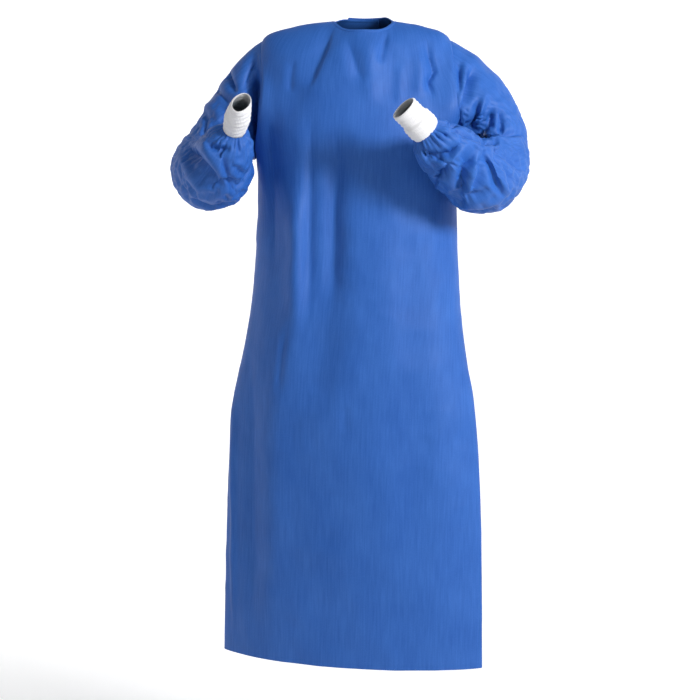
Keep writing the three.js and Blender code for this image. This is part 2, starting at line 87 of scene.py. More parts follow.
BODY_RINGS = (
    BodyRing(2, -23, 15, -65, 49, 66, 65, 0, 0, 1.0),
    BodyRing(-9, -62, -28, -141, 109, 95, 96, 2, 0, 0.95),
    BodyRing(-31, -107, -83, -198, 153, 108, 110, 4, 0, 0.9),
    BodyRing(-92, -158, -140, -199, 158, 114, 118, 4, 0, 0.85),
    BodyRing(-165, -208, -200, -205, 164, 117, 119, 2, -1, 0.85),
    BodyRing(-250, -268, -264, -210, 167, 117, 116, 0, -2, 0.88),
    BodyRing(-377, -377, -377, -212, 169, 114, 111, 0, -3, 0.95),
    BodyRing(-531, -531, -531, -225, 176, 108, 108, 0, -5, 1.05),
    BodyRing(-646, -646, -646, -246, 189, 102, 112, 1, -8, 1.15),
    BodyRing(-723, -723, -723, -260, 202, 98, 116, 2, -10, 1.22),
    BodyRing(-877, -877, -877, -275, 213, 90, 117, 4, -12, 1.35),
    BodyRing(-1050, -1050, -1050, -282, 217, 81, 113, 6, -14, 1.48),
    BodyRing(-1227, -1227, -1227, -287, 218, 74, 108, 8, -15.4, 1.6),
)


@dataclass(frozen=True)
class SoftFold:
    """A long soft fold: its angle, first and last level, half width in degrees, and depth."""

    angle: float
    start: float
    end: float
    spread: float
    depth: float


SOFT_FOLDS = (
    SoftFold(-33, 0.2, 4.2, 9, 5),
    SoftFold(-12, 3.5, 9.5, 10, 8),
    SoftFold(-34, 4.5, 12, 9, -7),
    SoftFold(24, 0.2, 3.6, 9, 5),
    SoftFold(34, 5.5, 11, 12, 6),
    SoftFold(-66, 5.5, 12.5, 10, 8),
)
BACK_FOLDS = (
    SoftFold(151, 6.8, 13.4, 5, 9),
    SoftFold(139, 6.9, 13.4, 5, -3),
    SoftFold(127, 6.8, 13.4, 6, 10),
    SoftFold(110, 7.3, 13.4, 6, 7),
    SoftFold(-147, 6.8, 13.4, 6, 9),
    SoftFold(-130, 7.1, 13.4, 5, 8),
    SoftFold(-112, 7.6, 13.4, 6, 6),
    SoftFold(143, 3.0, 6.8, 5, 5),
    SoftFold(121, 4.4, 6.8, 5, 4),
    SoftFold(-139, 3.4, 6.8, 6, 5),
    SoftFold(-118, 4.8, 6.8, 5, 4),
)


@dataclass(frozen=True)
class ArmSection:
    """One section of a sleeve: its middle and its two radii."""

    x: float
    y: float
    z: float
    across: float
    deep: float


@dataclass(frozen=True)
class CuffRing:
    """One ring of a cuff: how far along it lies, and its two radii."""

    at: float
    across: float
    deep: float


@dataclass(frozen=True)
class Rumple:
    """Soft dents and narrow ridges: how far apart in metres, how deep in millimetres, and which ones."""

    size: float
    depth: float
    seed: int


@dataclass(frozen=True)
class Crease:
    """A crease along a path across and up the front view, in millimetres on the neck's plane.

    depth goes into the cloth, and a negative one is a ridge. near and far are the half widths on
    the path's left and right, seen along a path that goes down. It reaches only cloth whose y lies
    between front and behind, in metres. Where way is given the cloth moves that way. sharp runs
    from 0 for a round bottom to 1 for a fold.
    """

    path: tuple[tuple[float, float], ...]
    depth: float
    near: float
    far: float
    front: float = -9.0
    behind: float = 9.0
    way: tuple[float, float, float] | None = None
    sharp: float = 0.5

    def depths(self, places: np.ndarray) -> np.ndarray:
        """How far the crease pushes each place in.

        Args:
            places: places on the cloth, in metres.

        Returns:
            The depths in millimetres.
        """
        seen = VIEW.seen(places)
        path = np.array(self.path, float)
        lengths = np.concatenate([[0.0], np.cumsum(np.linalg.norm(np.diff(path, axis=0), axis=1))])
        best = np.full(places.shape[:-1], 1e9)
        signed, passed = np.zeros_like(best), np.zeros_like(best)
        for index, (start, step) in enumerate(zip(path[:-1], np.diff(path, axis=0))):
            t = np.clip(((seen - start) @ step) / (step @ step), 0, 1)
            offset = seen - (start + t[..., None] * step)
            distance = np.linalg.norm(offset, axis=-1)
            side = np.sign(offset[..., 1] * step[0] - offset[..., 0] * step[1])
            nearer = distance < best
            best = np.where(nearer, distance, best)
            signed = np.where(nearer, side * distance, signed)
            passed = np.where(nearer, lengths[index] + t * np.linalg.norm(step), passed)
        width = np.where(signed > 0, self.far, self.near)
        taper = CREASE_TAPER * lengths[-1]
        ends = smooth(passed / taper) * smooth((lengths[-1] - passed) / taper)
        y = places[..., 1]
        layer = smooth((self.behind - y) / LAYER_EDGE) * smooth((y - self.front) / LAYER_EDGE)
        share = np.abs(signed) / width
        profile = (1 - self.sharp) * np.exp(-share ** 2) + self.sharp * np.exp(-1.3 * share)
        return self.depth * profile * ends * layer


@dataclass(frozen=True)
class View:
    """The eye that the front view is seen from: how far in front of the neck, and its height."""

    distance: float = 2.7
    height: float = -0.4

    def seen(self, places: np.ndarray) -> np.ndarray:
        """Where places show on the neck's plane.

        Args:
            places: places in metres.

        Returns:
            For each place, millimetres across and up.
        """
        scale = self.distance / (self.distance + places[..., 1])
        up = self.height + (places[..., 2] - self.height) * scale
        return np.stack([places[..., 0] * scale, up], axis=-1) / MM


VIEW = View()


def smooth(value: np.ndarray) -> np.ndarray:
    """A soft step from 0 to 1."""
    held = np.clip(value, 0.0, 1.0)
    return held * held * (3.0 - 2.0 * held)


def unit(vectors: np.ndarray) -> np.ndarray:
    """Vectors of length one."""
    return vectors / np.maximum(np.linalg.norm(vectors, axis=-1, keepdims=True), 1e-12)


def columns_of(rows: tuple) -> dict[str, np.ndarray]:
    """A table's columns by name."""
    names = [item.name for item in fields(rows[0])]
    return {name: np.array([getattr(row, name) for row in rows], float) for name in names}


def corners_of(values: np.ndarray) -> np.ndarray:
    """The values at the four corners of each cell of a grid, in order round the cell, on a third axis."""
    return np.stack([values[:-1, :-1], values[1:, :-1], values[1:, 1:], values[:-1, 1:]], axis=2)


def along(values: np.ndarray, level: np.ndarray) -> np.ndarray:
    """Values between a table's rows, on a smooth curve through them.

    Args:
        values: one value for each row of the table.
        level: where to read it, counted in rows.

    Returns:
        The value at each level.
    """
    last = len(values) - 1
    row = np.clip(np.floor(level).astype(int), 0, last - 1)
    t = np.asarray(level - row)
    if values.ndim > 1:
        t = t.reshape(t.shape + (1,) * (values.ndim - 1))
    a, b, c, d = (values[np.clip(row + step, 0, last)] for step in (-1, 0, 1, 2))
    rise = c - b
    start, end = (c - a) / 2, (d - b) / 2
    if values.ndim == 1:
        start = np.where(row > 0, start, rise)
        end = np.where(row < last - 1, end, rise)
    return b + t * (start + t * (3 * rise - 2 * start - end + t * (start + end - 2 * rise)))


def soft_noise(places: np.ndarray, size: float, seed: int) -> np.ndarray:
    """Smooth noise from -1 to 1.

    Args:
        places: where to read it, in metres.
        size: how wide its cells are, in metres.
        seed: which noise.

    Returns:
        The noise at each place.
    """
    lattice = np.random.RandomState(seed).uniform(-1, 1, (32, 32, 32))
    cell = np.floor(places / size).astype(int)
    t = smooth(places / size - cell)
    total = np.zeros(places.shape[:-1])
    for corner in range(8):
        bits = np.array([corner & 1, corner >> 1 & 1, corner >> 2 & 1])
        weight = np.where(bits, t, 1 - t).prod(axis=-1)
        i, j, k = np.moveaxis((cell + bits) % 32, -1, 0)
        total = total + weight * lattice[i, j, k]
    return total


@dataclass
class ClothGrid:
    """A panel as a grid of places, row by row. A closed grid's last column joins its first."""

    places: np.ndarray
    closed: bool = False

    def padded(self, values: np.ndarray | None = None) -> np.ndarray:
        """The places, or values at them, with the first column again at the end of a closed grid."""
        grid = self.places if values is None else values
        return np.concatenate([grid, grid[:, :1]], axis=1) if self.closed else grid

    def quads(self) -> np.ndarray:
        """The grid's cells as quads, each of four numbers of places."""
        number = np.arange(self.places.size // 3).reshape(self.places.shape[:2])
        return corners_of(self.padded(number)).reshape(-1, 4)

    def normals(self) -> np.ndarray:
        """Outward directions at the places.

        Returns:
            A direction of length one for each place.
        """
        if self.closed:
            across = np.roll(self.places, -1, axis=1) - np.roll(self.places, 1, axis=1)
        else:
            across = np.gradient(self.places, axis=1)
        return unit(np.cross(np.gradient(self.places, axis=0), across))

    def cut(self) -> np.ndarray:
        """Distances across and down the cloth.

        Returns:
            For each place of the padded grid, the two distances in metres.
        """
        places = self.padded()
        steps = np.linalg.norm(np.diff(places, axis=1), axis=2)
        if self.closed:
            steps = steps.mean(axis=0, keepdims=True)
        u = np.concatenate([np.zeros((len(steps), 1)), np.cumsum(steps, axis=1)], axis=1)
        u = u - u[:, u.shape[1] // 2, None]
        down = np.linalg.norm(np.diff(places, axis=0), axis=2).mean(axis=1)
        v = np.concatenate([[0.0], np.cumsum(down)])
        return np.stack(np.broadcast_arrays(u, v[:, None]), axis=-1)

    def area(self) -> float:
        """The cloth's area.

        Returns:
            The area in square metres.
        """
        p = self.padded()
        long = np.cross(p[1:, 1:] - p[:-1, :-1], p[1:, :-1] - p[:-1, 1:])
        return float(np.linalg.norm(long, axis=2).sum() / 2)

    def moved(self, distance: np.ndarray, way: np.ndarray | None = None) -> "ClothGrid":
        """The grid moved along its outward directions, or one way, by distances in millimetres."""
        directions = self.normals() if way is None else way
        return ClothGrid(self.places + directions * (distance * MM)[..., None], self.closed)

    def creased(self, creases: tuple[Crease, ...], keep: np.ndarray) -> "ClothGrid":
        """The grid with creases pressed into what faces the front.

        Args:
            creases: the creases, pressed in one after another.
            keep: how much of them each place takes, such as 0 at a seam.

        Returns:
            The creased grid.
        """
        grid = self
        for crease in creases:
            depth = crease.depths(grid.places) * keep
            if crease.way is None:
                grid = grid.moved(-depth * np.clip(0.25 - 3 * grid.normals()[..., 1], 0, 1))
            else:
                grid = grid.moved(depth, unit(np.array(crease.way, float)))
        return grid

    def rumpled(self, rumples: tuple[Rumple, ...], keep: np.ndarray) -> "ClothGrid":
        """The grid with soft dents and narrow ridges, as crushed nonwoven has.

        Args:
            rumples: the sets of them, laid one over another.
            keep: how much of them each place takes.

        Returns:
            The rumpled grid.
        """
        grid = self
        for rumple in rumples:
            dents = soft_noise(grid.places, rumple.size, rumple.seed)
            crests = soft_noise(grid.places, rumple.size * 0.8, rumple.seed + 1)
            ridges = 1 - np.sqrt(crests ** 2 + 0.02) * 2.2
            grid = grid.moved(rumple.depth * (0.6 * dents + 0.7 * ridges) * keep)
        return grid


@dataclass(frozen=True)
class Settling:
    """Cloth made a little too big and settled, so that its creases fold as real ones do.

    extra is the share that its free places grow by. hold and pin say how firmly the places keep to
    where they started. tension, bending, damping and drag are the cloth's own, and weight that of a
    place. thick is how near two layers come, in metres. Only one place in every few is worked out.
    """

    extra: float = 0.068
    hold: float = 0.26
    pin: float = 0.45
    tension: float = 20.0
    bending: float = 0.4
    damping: float = 4.0
    drag: float = 2.0
    weight: float = 0.01
    thick: float = 1.2 * MM
    frames: int = 30
    steps: int = 6
    every: int = 3

    def settled(self, grid: ClothGrid, free: np.ndarray) -> ClothGrid:
        """The grid once it has settled, worked out on every few of its places.

        Args:
            grid: the cloth as it starts.
            free: how free each place is, 0 where it is sewn.

        Returns:
            The settled grid.
        """
        rows, columns = grid.places.shape[:2]
        down = np.linspace(0, rows - 1, rows // self.every + 1)
        nearest = np.round(down).astype(int)
        start = ClothGrid(grid.places[nearest, ::self.every], True)
        move = self.settled_places(start, free[nearest, ::self.every]) - start.places
        move = along(move, np.interp(np.arange(rows), nearest, np.arange(len(nearest))))
        around = np.concatenate([move[:, -2:], move, move[:, :3]], axis=1).swapaxes(0, 1)
        move = along(around, 2 + np.arange(columns) / self.every).swapaxes(0, 1)
        return ClothGrid(grid.places + move * (free > 0)[..., None], True)

    def settled_places(self, grid: ClothGrid, free: np.ndarray) -> np.ndarray:
        """Where a grid's places settle.

        Args:
            grid: the cloth as it starts.
            free: how free each place is, 0 where it is sewn.

        Returns:
            The places, in metres.
        """
        mesh = bpy.data.meshes.new("settling")
        mesh.from_pydata(grid.places.reshape(-1, 3).tolist(), [], grid.quads().tolist())
        cloth = bpy.data.objects.new("settling", mesh)
        bpy.context.scene.collection.objects.link(cloth)
        held, tight = cloth.vertex_groups.new(name="held"), cloth.vertex_groups.new(name="tight")
        shares = np.round(free.ravel(), 2)
        for share in np.unique(shares):
            numbers = np.flatnonzero(shares == share).tolist()
            held.add(numbers, float(1 - (1 - self.hold) * share), "REPLACE")
            tight.add(numbers, float(1 - share), "REPLACE")
        modifier = cloth.modifiers.new("cloth", "CLOTH")
        settings = modifier.settings
        settings.quality = self.steps
        settings.mass = self.weight
        settings.tension_stiffness = settings.compression_stiffness = self.tension
        settings.shear_stiffness = self.tension / 3
        settings.bending_stiffness = self.bending
        settings.tension_damping = settings.compression_damping = self.damping
        settings.shear_damping = self.damping
        settings.air_damping = self.drag
        settings.shrink_min, settings.shrink_max = -self.extra, 0.0
        settings.vertex_group_mass, settings.vertex_group_shrink = held.name, tight.name
        settings.pin_stiffness = self.pin
        settings.effector_weights.gravity = 0.0
        modifier.collision_settings.use_collision = False
        modifier.collision_settings.use_self_collision = True
        modifier.collision_settings.self_distance_min = self.thick
        modifier.point_cache.frame_start, modifier.point_cache.frame_end = 1, self.frames
        for frame_number in range(1, self.frames + 1):
            bpy.context.scene.frame_set(frame_number)
        result = cloth.evaluated_get(bpy.context.evaluated_depsgraph_get()).data
        places = np.empty(grid.places.size, np.float32)
        result.vertices.foreach_get("co", places)
        bpy.data.objects.remove(cloth)
        bpy.context.scene.frame_set(1)
        return places.reshape(grid.places.shape).astype(float)


@dataclass(frozen=True)
class Overlap:
    """How the outer back panel lies over the inner one, in millimetres."""

    lift: float = 5.4
    half: float = 55.0
    ramp: float = 70.0
    neck_half: float = 28.0
    half_step: float = 12.0
    neck_ramp: float = 60.0
    ramp_step: float = 10.0
    clear: float = 3.0
    past: float = 8.0
    fall: float = 6.0


@dataclass
class BodyForm:
    """The surface that the body of the gown lies on, by level and angle."""

    armhole_angle: float = 31.0
    overlap: Overlap = Overlap()
    table: dict[str, np.ndarray] = field(default_factory=lambda: columns_of(BODY_RINGS))

    def edge_angle(self, level: np.ndarray) -> np.ndarray:
        """The angle from the front's or back's middle to the panel's edge."""
        t = np.clip((level - TIP_LEVEL) / (PIT_LEVEL - TIP_LEVEL), 0, 1)
        return 90.0 - self.armhole_angle * np.maximum(np.sin(np.pi * t), 0) ** 0.8

    def half_width(self, level: np.ndarray) -> np.ndarray:
        """Half the distance between the side seams, in millimetres."""
        return (along(self.table["right"], level) - along(self.table["left"], level)) / 2

    def folds(self, folds: tuple[SoftFold, ...], level: np.ndarray, angle: np.ndarray) -> np.ndarray:
        """How far soft folds push the cloth in.

        Args:
            folds: the folds.
            level: how far down, counted in rings.
            angle: degrees from the middle of the front.

        Returns:
            The depths in millimetres.
        """
        depth = np.zeros(np.broadcast(level, angle).shape)
        for fold in folds:
            ends = smooth((level - fold.start) / 1.2) * smooth((fold.end - level) / 1.2)
            depth = depth + fold.depth * ends * np.exp(-(((angle - fold.angle) / fold.spread) ** 2))
        return depth

    def points(self, level: np.ndarray, angle: np.ndarray) -> np.ndarray:
        """Places on the surface.

        Args:
            level: how far down, counted in rings.
            angle: degrees, 0 in front and 90 at the wearer's left side.

        Returns:
            The places in metres.
        """
        level, angle = np.broadcast_arrays(np.asarray(level, float), np.asarray(angle, float))
        value = {name: along(column, level) for name, column in self.table.items()}
        sine, cosine = np.sin(np.radians(angle)), np.cos(np.radians(angle))
        turn = np.radians(value["turn"])
        half = self.half_width(level) / np.sin(np.radians(self.edge_angle(level))) / np.cos(turn)
        reach = np.where(cosine > 0, self.folds(SOFT_FOLDS, level, angle) - value["out"], value["behind"])
        x, y = half * sine, reach * np.abs(cosine) ** value["round"]
        rise = np.where(cosine > 0, value["front"], value["back"]) - value["side"]
        return MM * np.stack([
            (value["left"] + value["right"]) / 2 + x * np.cos(turn) - y * np.sin(turn),
            value["mid"] + x * np.sin(turn) + y * np.cos(turn),
            value["side"] + rise * (1 - sine ** 4),
        ], axis=-1)

    def normals(self, level: np.ndarray, angle: np.ndarray) -> np.ndarray:
        """Outward directions on the surface.

        Args:
            level: how far down, counted in rings.
            angle: degrees from the middle of the front.

        Returns:
            A direction of length one for each level and angle.
        """
        above, below = np.maximum(level - 0.05, 0), np.minimum(level + 0.05, HEM_LEVEL)
        down = self.points(below, angle) - self.points(above, angle)
        return -unit(np.cross(self.points(level, angle + 1.0) - self.points(level, angle - 1.0), down))

    def angle_at(self, level: np.ndarray, distance: np.ndarray) -> np.ndarray:
        """The angle from the middle of the back to a distance across it, in millimetres."""
        return np.degrees(np.arcsin(np.clip(distance / self.half_width(level), -1, 1)))

    def overlap_half(self, level: np.ndarray) -> np.ndarray:
        """How far each back panel passes the middle, in millimetres."""
        return np.minimum(self.overlap.half, self.overlap.neck_half + self.overlap.half_step * level)

    def overlap_lift(self, level: np.ndarray, angle: np.ndarray) -> np.ndarray:
        """How far the outer back panel is lifted over the inner one.

        Args:
            level: how far down, counted in rings.
            angle: degrees from the middle of the front.

        Returns:
            The lift in millimetres.
        """
        half = self.overlap_half(level)
        ramp = np.minimum(self.overlap.ramp, self.overlap.neck_ramp + self.overlap.ramp_step * level)
        start = 180 - self.angle_at(level, half + ramp)
        full = 180 - self.angle_at(level, half + self.overlap.clear)
        return self.overlap.lift * smooth((angle - start) / (full - start))

    def on_back(self, height: np.ndarray, across: np.ndarray, out: np.ndarray) -> np.ndarray:
        """Places on the back's outer cloth.

        Args:
            height: their heights in millimetres.
            across: distances from the middle towards the wearer's left.
            out: how far they stand off the cloth, in millimetres.

        Returns:
            The places in metres.
        """
        levels = np.linspace(0, HEM_LEVEL, 600)
        level = np.interp(-np.asarray(height, float), -along(self.table["back"], levels), levels)
        angle = 180 - self.angle_at(level, across)
        edge = 180 + self.angle_at(level, self.overlap_half(level) + self.overlap.past)
        past = self.overlap.lift * smooth(1 - (angle - edge) / self.overlap.fall)
        lift = np.where(angle < 180, self.overlap_lift(level, angle), past)
        return self.points(level, angle) + self.normals(level, angle) * ((lift + out) * MM)[..., None]


@dataclass(frozen=True)
class Finish:
    """A finish that reads the cloth's own cut coordinates, in metres."""

    name: str
    dark: tuple[float, float, float]
    light: tuple[float, float, float]
    roughness: float
    sheen: float
    pitch: float
    relief: float
    gloss: float = 0.30
    nap: float = 0.45

    def make(self) -> bpy.types.Material:
        """Builds the material.

        Returns:
            The material.
        """
        material = bpy.data.materials.new(self.name)
        material.use_nodes = True
        shader = material.node_tree.nodes["Principled BSDF"]
        shader.inputs["Roughness"].default_value = self.roughness
        shader.inputs["Specular IOR Level"].default_value = self.gloss
        shader.inputs["Sheen Weight"].default_value = self.sheen
        shader.inputs["Sheen Roughness"].default_value = self.nap
        self.dress(Nodes(material.node_tree), shader)
        return material

    def dress(self, nodes: "Nodes", shader: bpy.types.Node) -> None:
        """Gives the shader its colours and relief.

        Args:
            nodes: what adds nodes to its tree.
            shader: the shader.
        """
        fibres = nodes.noise((420.0, 420.0, 1.0), 3.0)
        clouds = nodes.noise((14.0, 9.0, 1.0), 2.0)
        points = nodes.grid_points(self.pitch)
        tone = nodes.blended(((fibres, 0.5), (clouds, 0.5)))
        nodes.colour(shader, nodes.math("SUBTRACT", tone, nodes.math("MULTIPLY", points, 0.08)),
                     self.dark, self.light, (0.30, 0.70))
        height = nodes.math("SUBTRACT", nodes.math("MULTIPLY", fibres, 0.5), points)
        nodes.bump(shader, height, self.relief)


@dataclass(frozen=True)
class Nonwoven(Finish):
    """Spunbond and meltblown cloth: fibres along its length and a pressed pattern of small points."""

    def dress(self, nodes: "Nodes", shader: bpy.types.Node) -> None:
        """Gives the shader fibre streaks, clouds and pressed points.

        Args:
            nodes: what adds nodes to its tree.
            shader: the shader.
        """
        fibres = nodes.noise((420.0, 420.0, 1.0), 3.0)
        streaks = nodes.noise((300.0, 16.0, 1.0), 3.0)
        clouds = nodes.noise((13.0, 8.0, 1.0), 3.0)
        crush = nodes.noise((46.0, 30.0, 1.0), 2.0)
        points = nodes.grid_points(self.pitch)
        tone = nodes.blended(((fibres, 0.25), (streaks, 0.40), (clouds, 0.35)))
        tone = nodes.math("SUBTRACT", tone, nodes.math("MULTIPLY", points, 0.06))
        nodes.colour(shader, tone, self.dark, self.light, (0.34, 0.66))
        height = nodes.math("SUBTRACT", nodes.math("MULTIPLY", fibres, 0.6), points)
        height = nodes.math("ADD", height, nodes.math("MULTIPLY", streaks, 0.8))
        height = nodes.math("ADD", height, nodes.math("MULTIPLY", crush, 4.0))
        nodes.bump(shader, height, self.relief)


@dataclass
class Nodes:
    """Short ways to add shader nodes that read the cut coordinates."""

    tree: bpy.types.NodeTree

    def __post_init__(self) -> None:
        """Adds the node that gives the cut coordinates."""
        self.cut = self.tree.nodes.new("ShaderNodeUVMap")
        self.cut.uv_map = "cut"

    def noise(self, scale: tuple[float, float, float], detail: float) -> bpy.types.NodeSocket:
        """Noise on the cloth.

        Args:
            scale: how fine it is across and down the cloth.
            detail: how many finer layers it has.

        Returns:
            The noise, from 0 to 1.
        """
        mapping = self.tree.nodes.new("ShaderNodeMapping")
        mapping.inputs["Scale"].default_value = scale
        texture = self.tree.nodes.new("ShaderNodeTexNoise")
        texture.inputs["Scale"].default_value = 1.0
        texture.inputs["Detail"].default_value = detail
        self.tree.links.new(self.cut.outputs["UV"], mapping.inputs["Vector"])
        self.tree.links.new(mapping.outputs["Vector"], texture.inputs["Vector"])
        return texture.outputs["Fac"]

    def math(self, operation: str, first: bpy.types.NodeSocket,
             second: bpy.types.NodeSocket | float) -> bpy.types.NodeSocket:
        """One step of arithmetic.

        Args:
            operation: its name.
            first: the first value.
            second: the second value, or a plain number.

        Returns:
            The result.
        """
        step = self.tree.nodes.new("ShaderNodeMath")
        step.operation = operation
        self.tree.links.new(first, step.inputs[0])
        if isinstance(second, float):
            step.inputs[1].default_value = second
        else:
            self.tree.links.new(second, step.inputs[1])
        return step.outputs[0]

    def blended(self, parts: tuple[tuple[bpy.types.NodeSocket, float], ...]) -> bpy.types.NodeSocket:
        """Values added up by their shares.

        Args:
            parts: each value and its share.

        Returns:
            The sum.
        """
        total, *others = [self.math("MULTIPLY", value, share) for value, share in parts]
        for other in others:
            total = self.math("ADD", total, other)
        return total

    def grid_points(self, pitch: float) -> bpy.types.NodeSocket:
        """Small points in a diamond grid.

        Args:
            pitch: how far apart they are, in metres.

        Returns:
            1 at each point and 0 between them.
        """
        split = self.tree.nodes.new("ShaderNodeSeparateXYZ")
        self.tree.links.new(self.cut.outputs["UV"], split.inputs["Vector"])
        turns = [self.math("MULTIPLY", split.outputs[axis], 2 * math.pi / pitch) for axis in ("X", "Y")]
        waves = [self.math("SINE", turn, 0.0) for turn in turns]
        return self.math("MAXIMUM", self.math("MULTIPLY", *waves), 0.0)

    def colour(self, shader: bpy.types.Node, tone: bpy.types.NodeSocket, dark: tuple, light: tuple,
               ends: tuple[float, float]) -> None:
        """Colours the shader, and darkens it with painted shade where its inner attribute asks.

        Args:
            shader: the shader.
            tone: what picks the colour.
            dark: the colour of low tones.
            light: the colour of high tones.
            ends: the tones at which the two colours are reached.
        """
        ramp = self.tree.nodes.new("ShaderNodeValToRGB")
        for element, position, colour in zip(ramp.color_ramp.elements, ends, (dark, light)):
            element.position = position
            element.color = (*colour, 1.0)
        self.tree.links.new(tone, ramp.inputs["Fac"])
        # Painted shade: the inner attribute multiplies the colour by a near-black grey, standing in for the
        # shade inside the gown, sleeves and cuffs.
        inner = self.tree.nodes.new("ShaderNodeAttribute")
        inner.attribute_name = "inner"
        shade = self.tree.nodes.new("ShaderNodeMix")
        shade.data_type = "RGBA"
        shade.blend_type = "MULTIPLY"
        shade.inputs[7].default_value = (0.10, 0.13, 0.15, 1.0)
        self.tree.links.new(inner.outputs["Fac"], shade.inputs[0])
        self.tree.links.new(ramp.outputs["Color"], shade.inputs[6])
        self.tree.links.new(shade.outputs[2], shader.inputs["Base Color"])

    def bump(self, shader: bpy.types.Node, height: bpy.types.NodeSocket, distance: float) -> None:
        """Gives the shader its relief.

        Args:
            shader: the shader.
            height: the pattern.
            distance: how high it stands, in metres.
        """
        bump = self.tree.nodes.new("ShaderNodeBump")
        bump.inputs["Distance"].default_value = distance
        self.tree.links.new(height, bump.inputs["Height"])
        self.tree.links.new(bump.outputs["Normal"], shader.inputs["Normal"])


@dataclass
class Wardrobe:
    """The finishes by weave, and what turns grids into dressed pieces."""

    finishes: dict[Weave, bpy.types.Material]
    sharp_angle: float = math.radians(65)

    def piece(self, name: str, vertices: np.ndarray, faces: np.ndarray, uv: np.ndarray,
              weave: Weave, replaces: str | None = None,
              inner: np.ndarray | None = None) -> bpy.types.Object:
        """A dressed mesh.

        Args:
            name: the piece's name.
            vertices: its places.
            faces: its quads.
            uv: cut coordinates for each corner of each face.
            weave: its cloth.
            replaces: the CAD node that it stands for.
            inner: for each place, how much painted shade darkens it, from 0 to 1; the cloth's inner side
                takes it.

        Returns:
            The piece.
        """
        mesh = bpy.data.meshes.new(name)
        mesh.from_pydata(vertices.tolist(), [], faces.tolist())
        mesh.uv_layers.new(name="cut").data.foreach_set("uv", uv.astype(np.float32).ravel())
        if inner is not None:
            # The inner attribute carries painted shade for the cloth's inner side.
            depths = mesh.attributes.new("inner", "FLOAT", "POINT")
            depths.data.foreach_set("value", inner.astype(np.float32))
        mesh.shade_smooth()
        mesh.set_sharp_from_angle(angle=self.sharp_angle)
        mesh.materials.append(self.finishes[weave])
        piece = bpy.data.objects.new(name, mesh)
        bpy.context.scene.collection.objects.link(piece)
        return self.dressed(piece, weave, replaces)

    def dressed(self, piece: bpy.types.Object, weave: Weave,
                replaces: str | None = None) -> bpy.types.Object:
        """Gives a piece its node, hides the CAD node that it stands for, and reports it.

        Args:
            piece: the piece.
            weave: its cloth; not used.
            replaces: the CAD node that it stands for.

        Returns:
            The piece.
        """
        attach(piece, "root")
        if replaces:
            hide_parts(replaces)
        log.info("%s: %d faces", piece.name, len(piece.data.polygons))
        return piece

    def wall(self, name: str, grid: ClothGrid, thickness: float, weave: Weave,
             replaces: str | None = None, deep: np.ndarray | None = None) -> bpy.types.Object:
        """A closed cloth wall around a grid, as a dressed piece.

        Args:
            name: the piece's name.
            grid: the cloth's middle.
            thickness: the wall's thickness in metres.
            weave: its cloth.
            replaces: the CAD node that it stands for.
            deep: how much painted shade darkens its inner side, from 0 to 1; full where it is not given.

        Returns:
            The piece.
        """
        height, width = grid.places.shape[:2]
        offset = grid.normals() * thickness / 2
        vertices = np.concatenate([(grid.places + way * offset).reshape(-1, 3) for way in (1, -1)])
        number = grid.padded(np.arange(height * width).reshape(height, width))
        cells = grid.quads()
        uv = grid.cut()
        cell_uv = corners_of(uv).reshape(-1, 4, 2)
        edges = [(number[0], uv[0]), (number[-1][::-1], uv[-1][::-1])]
        if not grid.closed:
            edges += [(number[::-1, 0], uv[::-1, 0]), (number[:, -1], uv[:, -1])]
        count = height * width
        rims = [np.stack([n[:-1], n[1:], n[1:] + count, n[:-1] + count], axis=-1) for n, _ in edges]
        rim_uv = [np.stack([t[:-1], t[1:], t[1:], t[:-1]], axis=1) for _, t in edges]
        faces = np.concatenate([cells, cells[:, ::-1] + count, *rims])
        all_uv = np.concatenate([cell_uv, cell_uv[:, ::-1], *rim_uv])
        # The inner side's faces get painted shade, the outer side's faces none.
        depth = np.zeros((height, width)) + (1.0 if deep is None else deep)
        inner = np.concatenate([np.zeros(count), depth.ravel()])
        return self.piece(name, vertices, faces, all_uv, weave, replaces, inner)


FRONT_CREASES = (
    Crease(((-65, -6), (-88, -60), (-117, -131)), 7.0, 17.3, 4.8),
    Crease(((-42, -23), (-27, -69), (-10, -119)), 6.0, 13.5, 13.5),
    Crease(((38, -15), (31, -46), (23, -81)), 5.0, 11.5, 4.8),
    Crease(((6, -19), (2, -88), (8, -165)), -4.0, 15.4, 15.4, sharp=0.0),
    Crease(((110, -27), (119, -63), (127, -92), (117, -112), (125, -146)), 9.0, 9.6, 4.2),
    Crease(((94, -50), (100, -88), (98, -146)), -4.0, 9.6, 9.6, sharp=0.0),
    Crease(((-142, -65), (-148, -100), (-150, -138)), 4.0, 9.6, 7.7),
    Crease(((63, -69), (60, -127), (62, -165)), -3.0, 9.6, 9.6, sharp=0.0),
    Crease(((-137, -300), (-137, -454), (-138, -617)), -9.0, 17.3, 11.5, sharp=0.0),
    Crease(((-110, -165), (-112, -338), (-113, -569)), 9.0, 11.5, 15.4),
    Crease(((-58, -185), (-65, -358), (-71, -569)), 11.0, 19.2, 17.3),
    Crease(((-192, -165), (-185, -300), (-181, -492)), 7.0, 11.5, 15.4),
    Crease(((-156, -569), (-167, -637), (-175, -723)), 4.0, 5.8, 7.7),
    Crease(((-42, -731), (-44, -762), (-46, -792)), 3.0, 5.8, 5.8),
    Crease(((-258, -550), (-262, -877), (-260, -1215)), -5.0, 4.2, 5.8, sharp=0.0),
    Crease(((-223, -588), (-227, -877), (-225, -1215)), 8.0, 17.3, 21.2),
    Crease(((-200, -69), (-206, -165), (-210, -300)), -6.0, 5.8, 17.3, sharp=0.0),
)


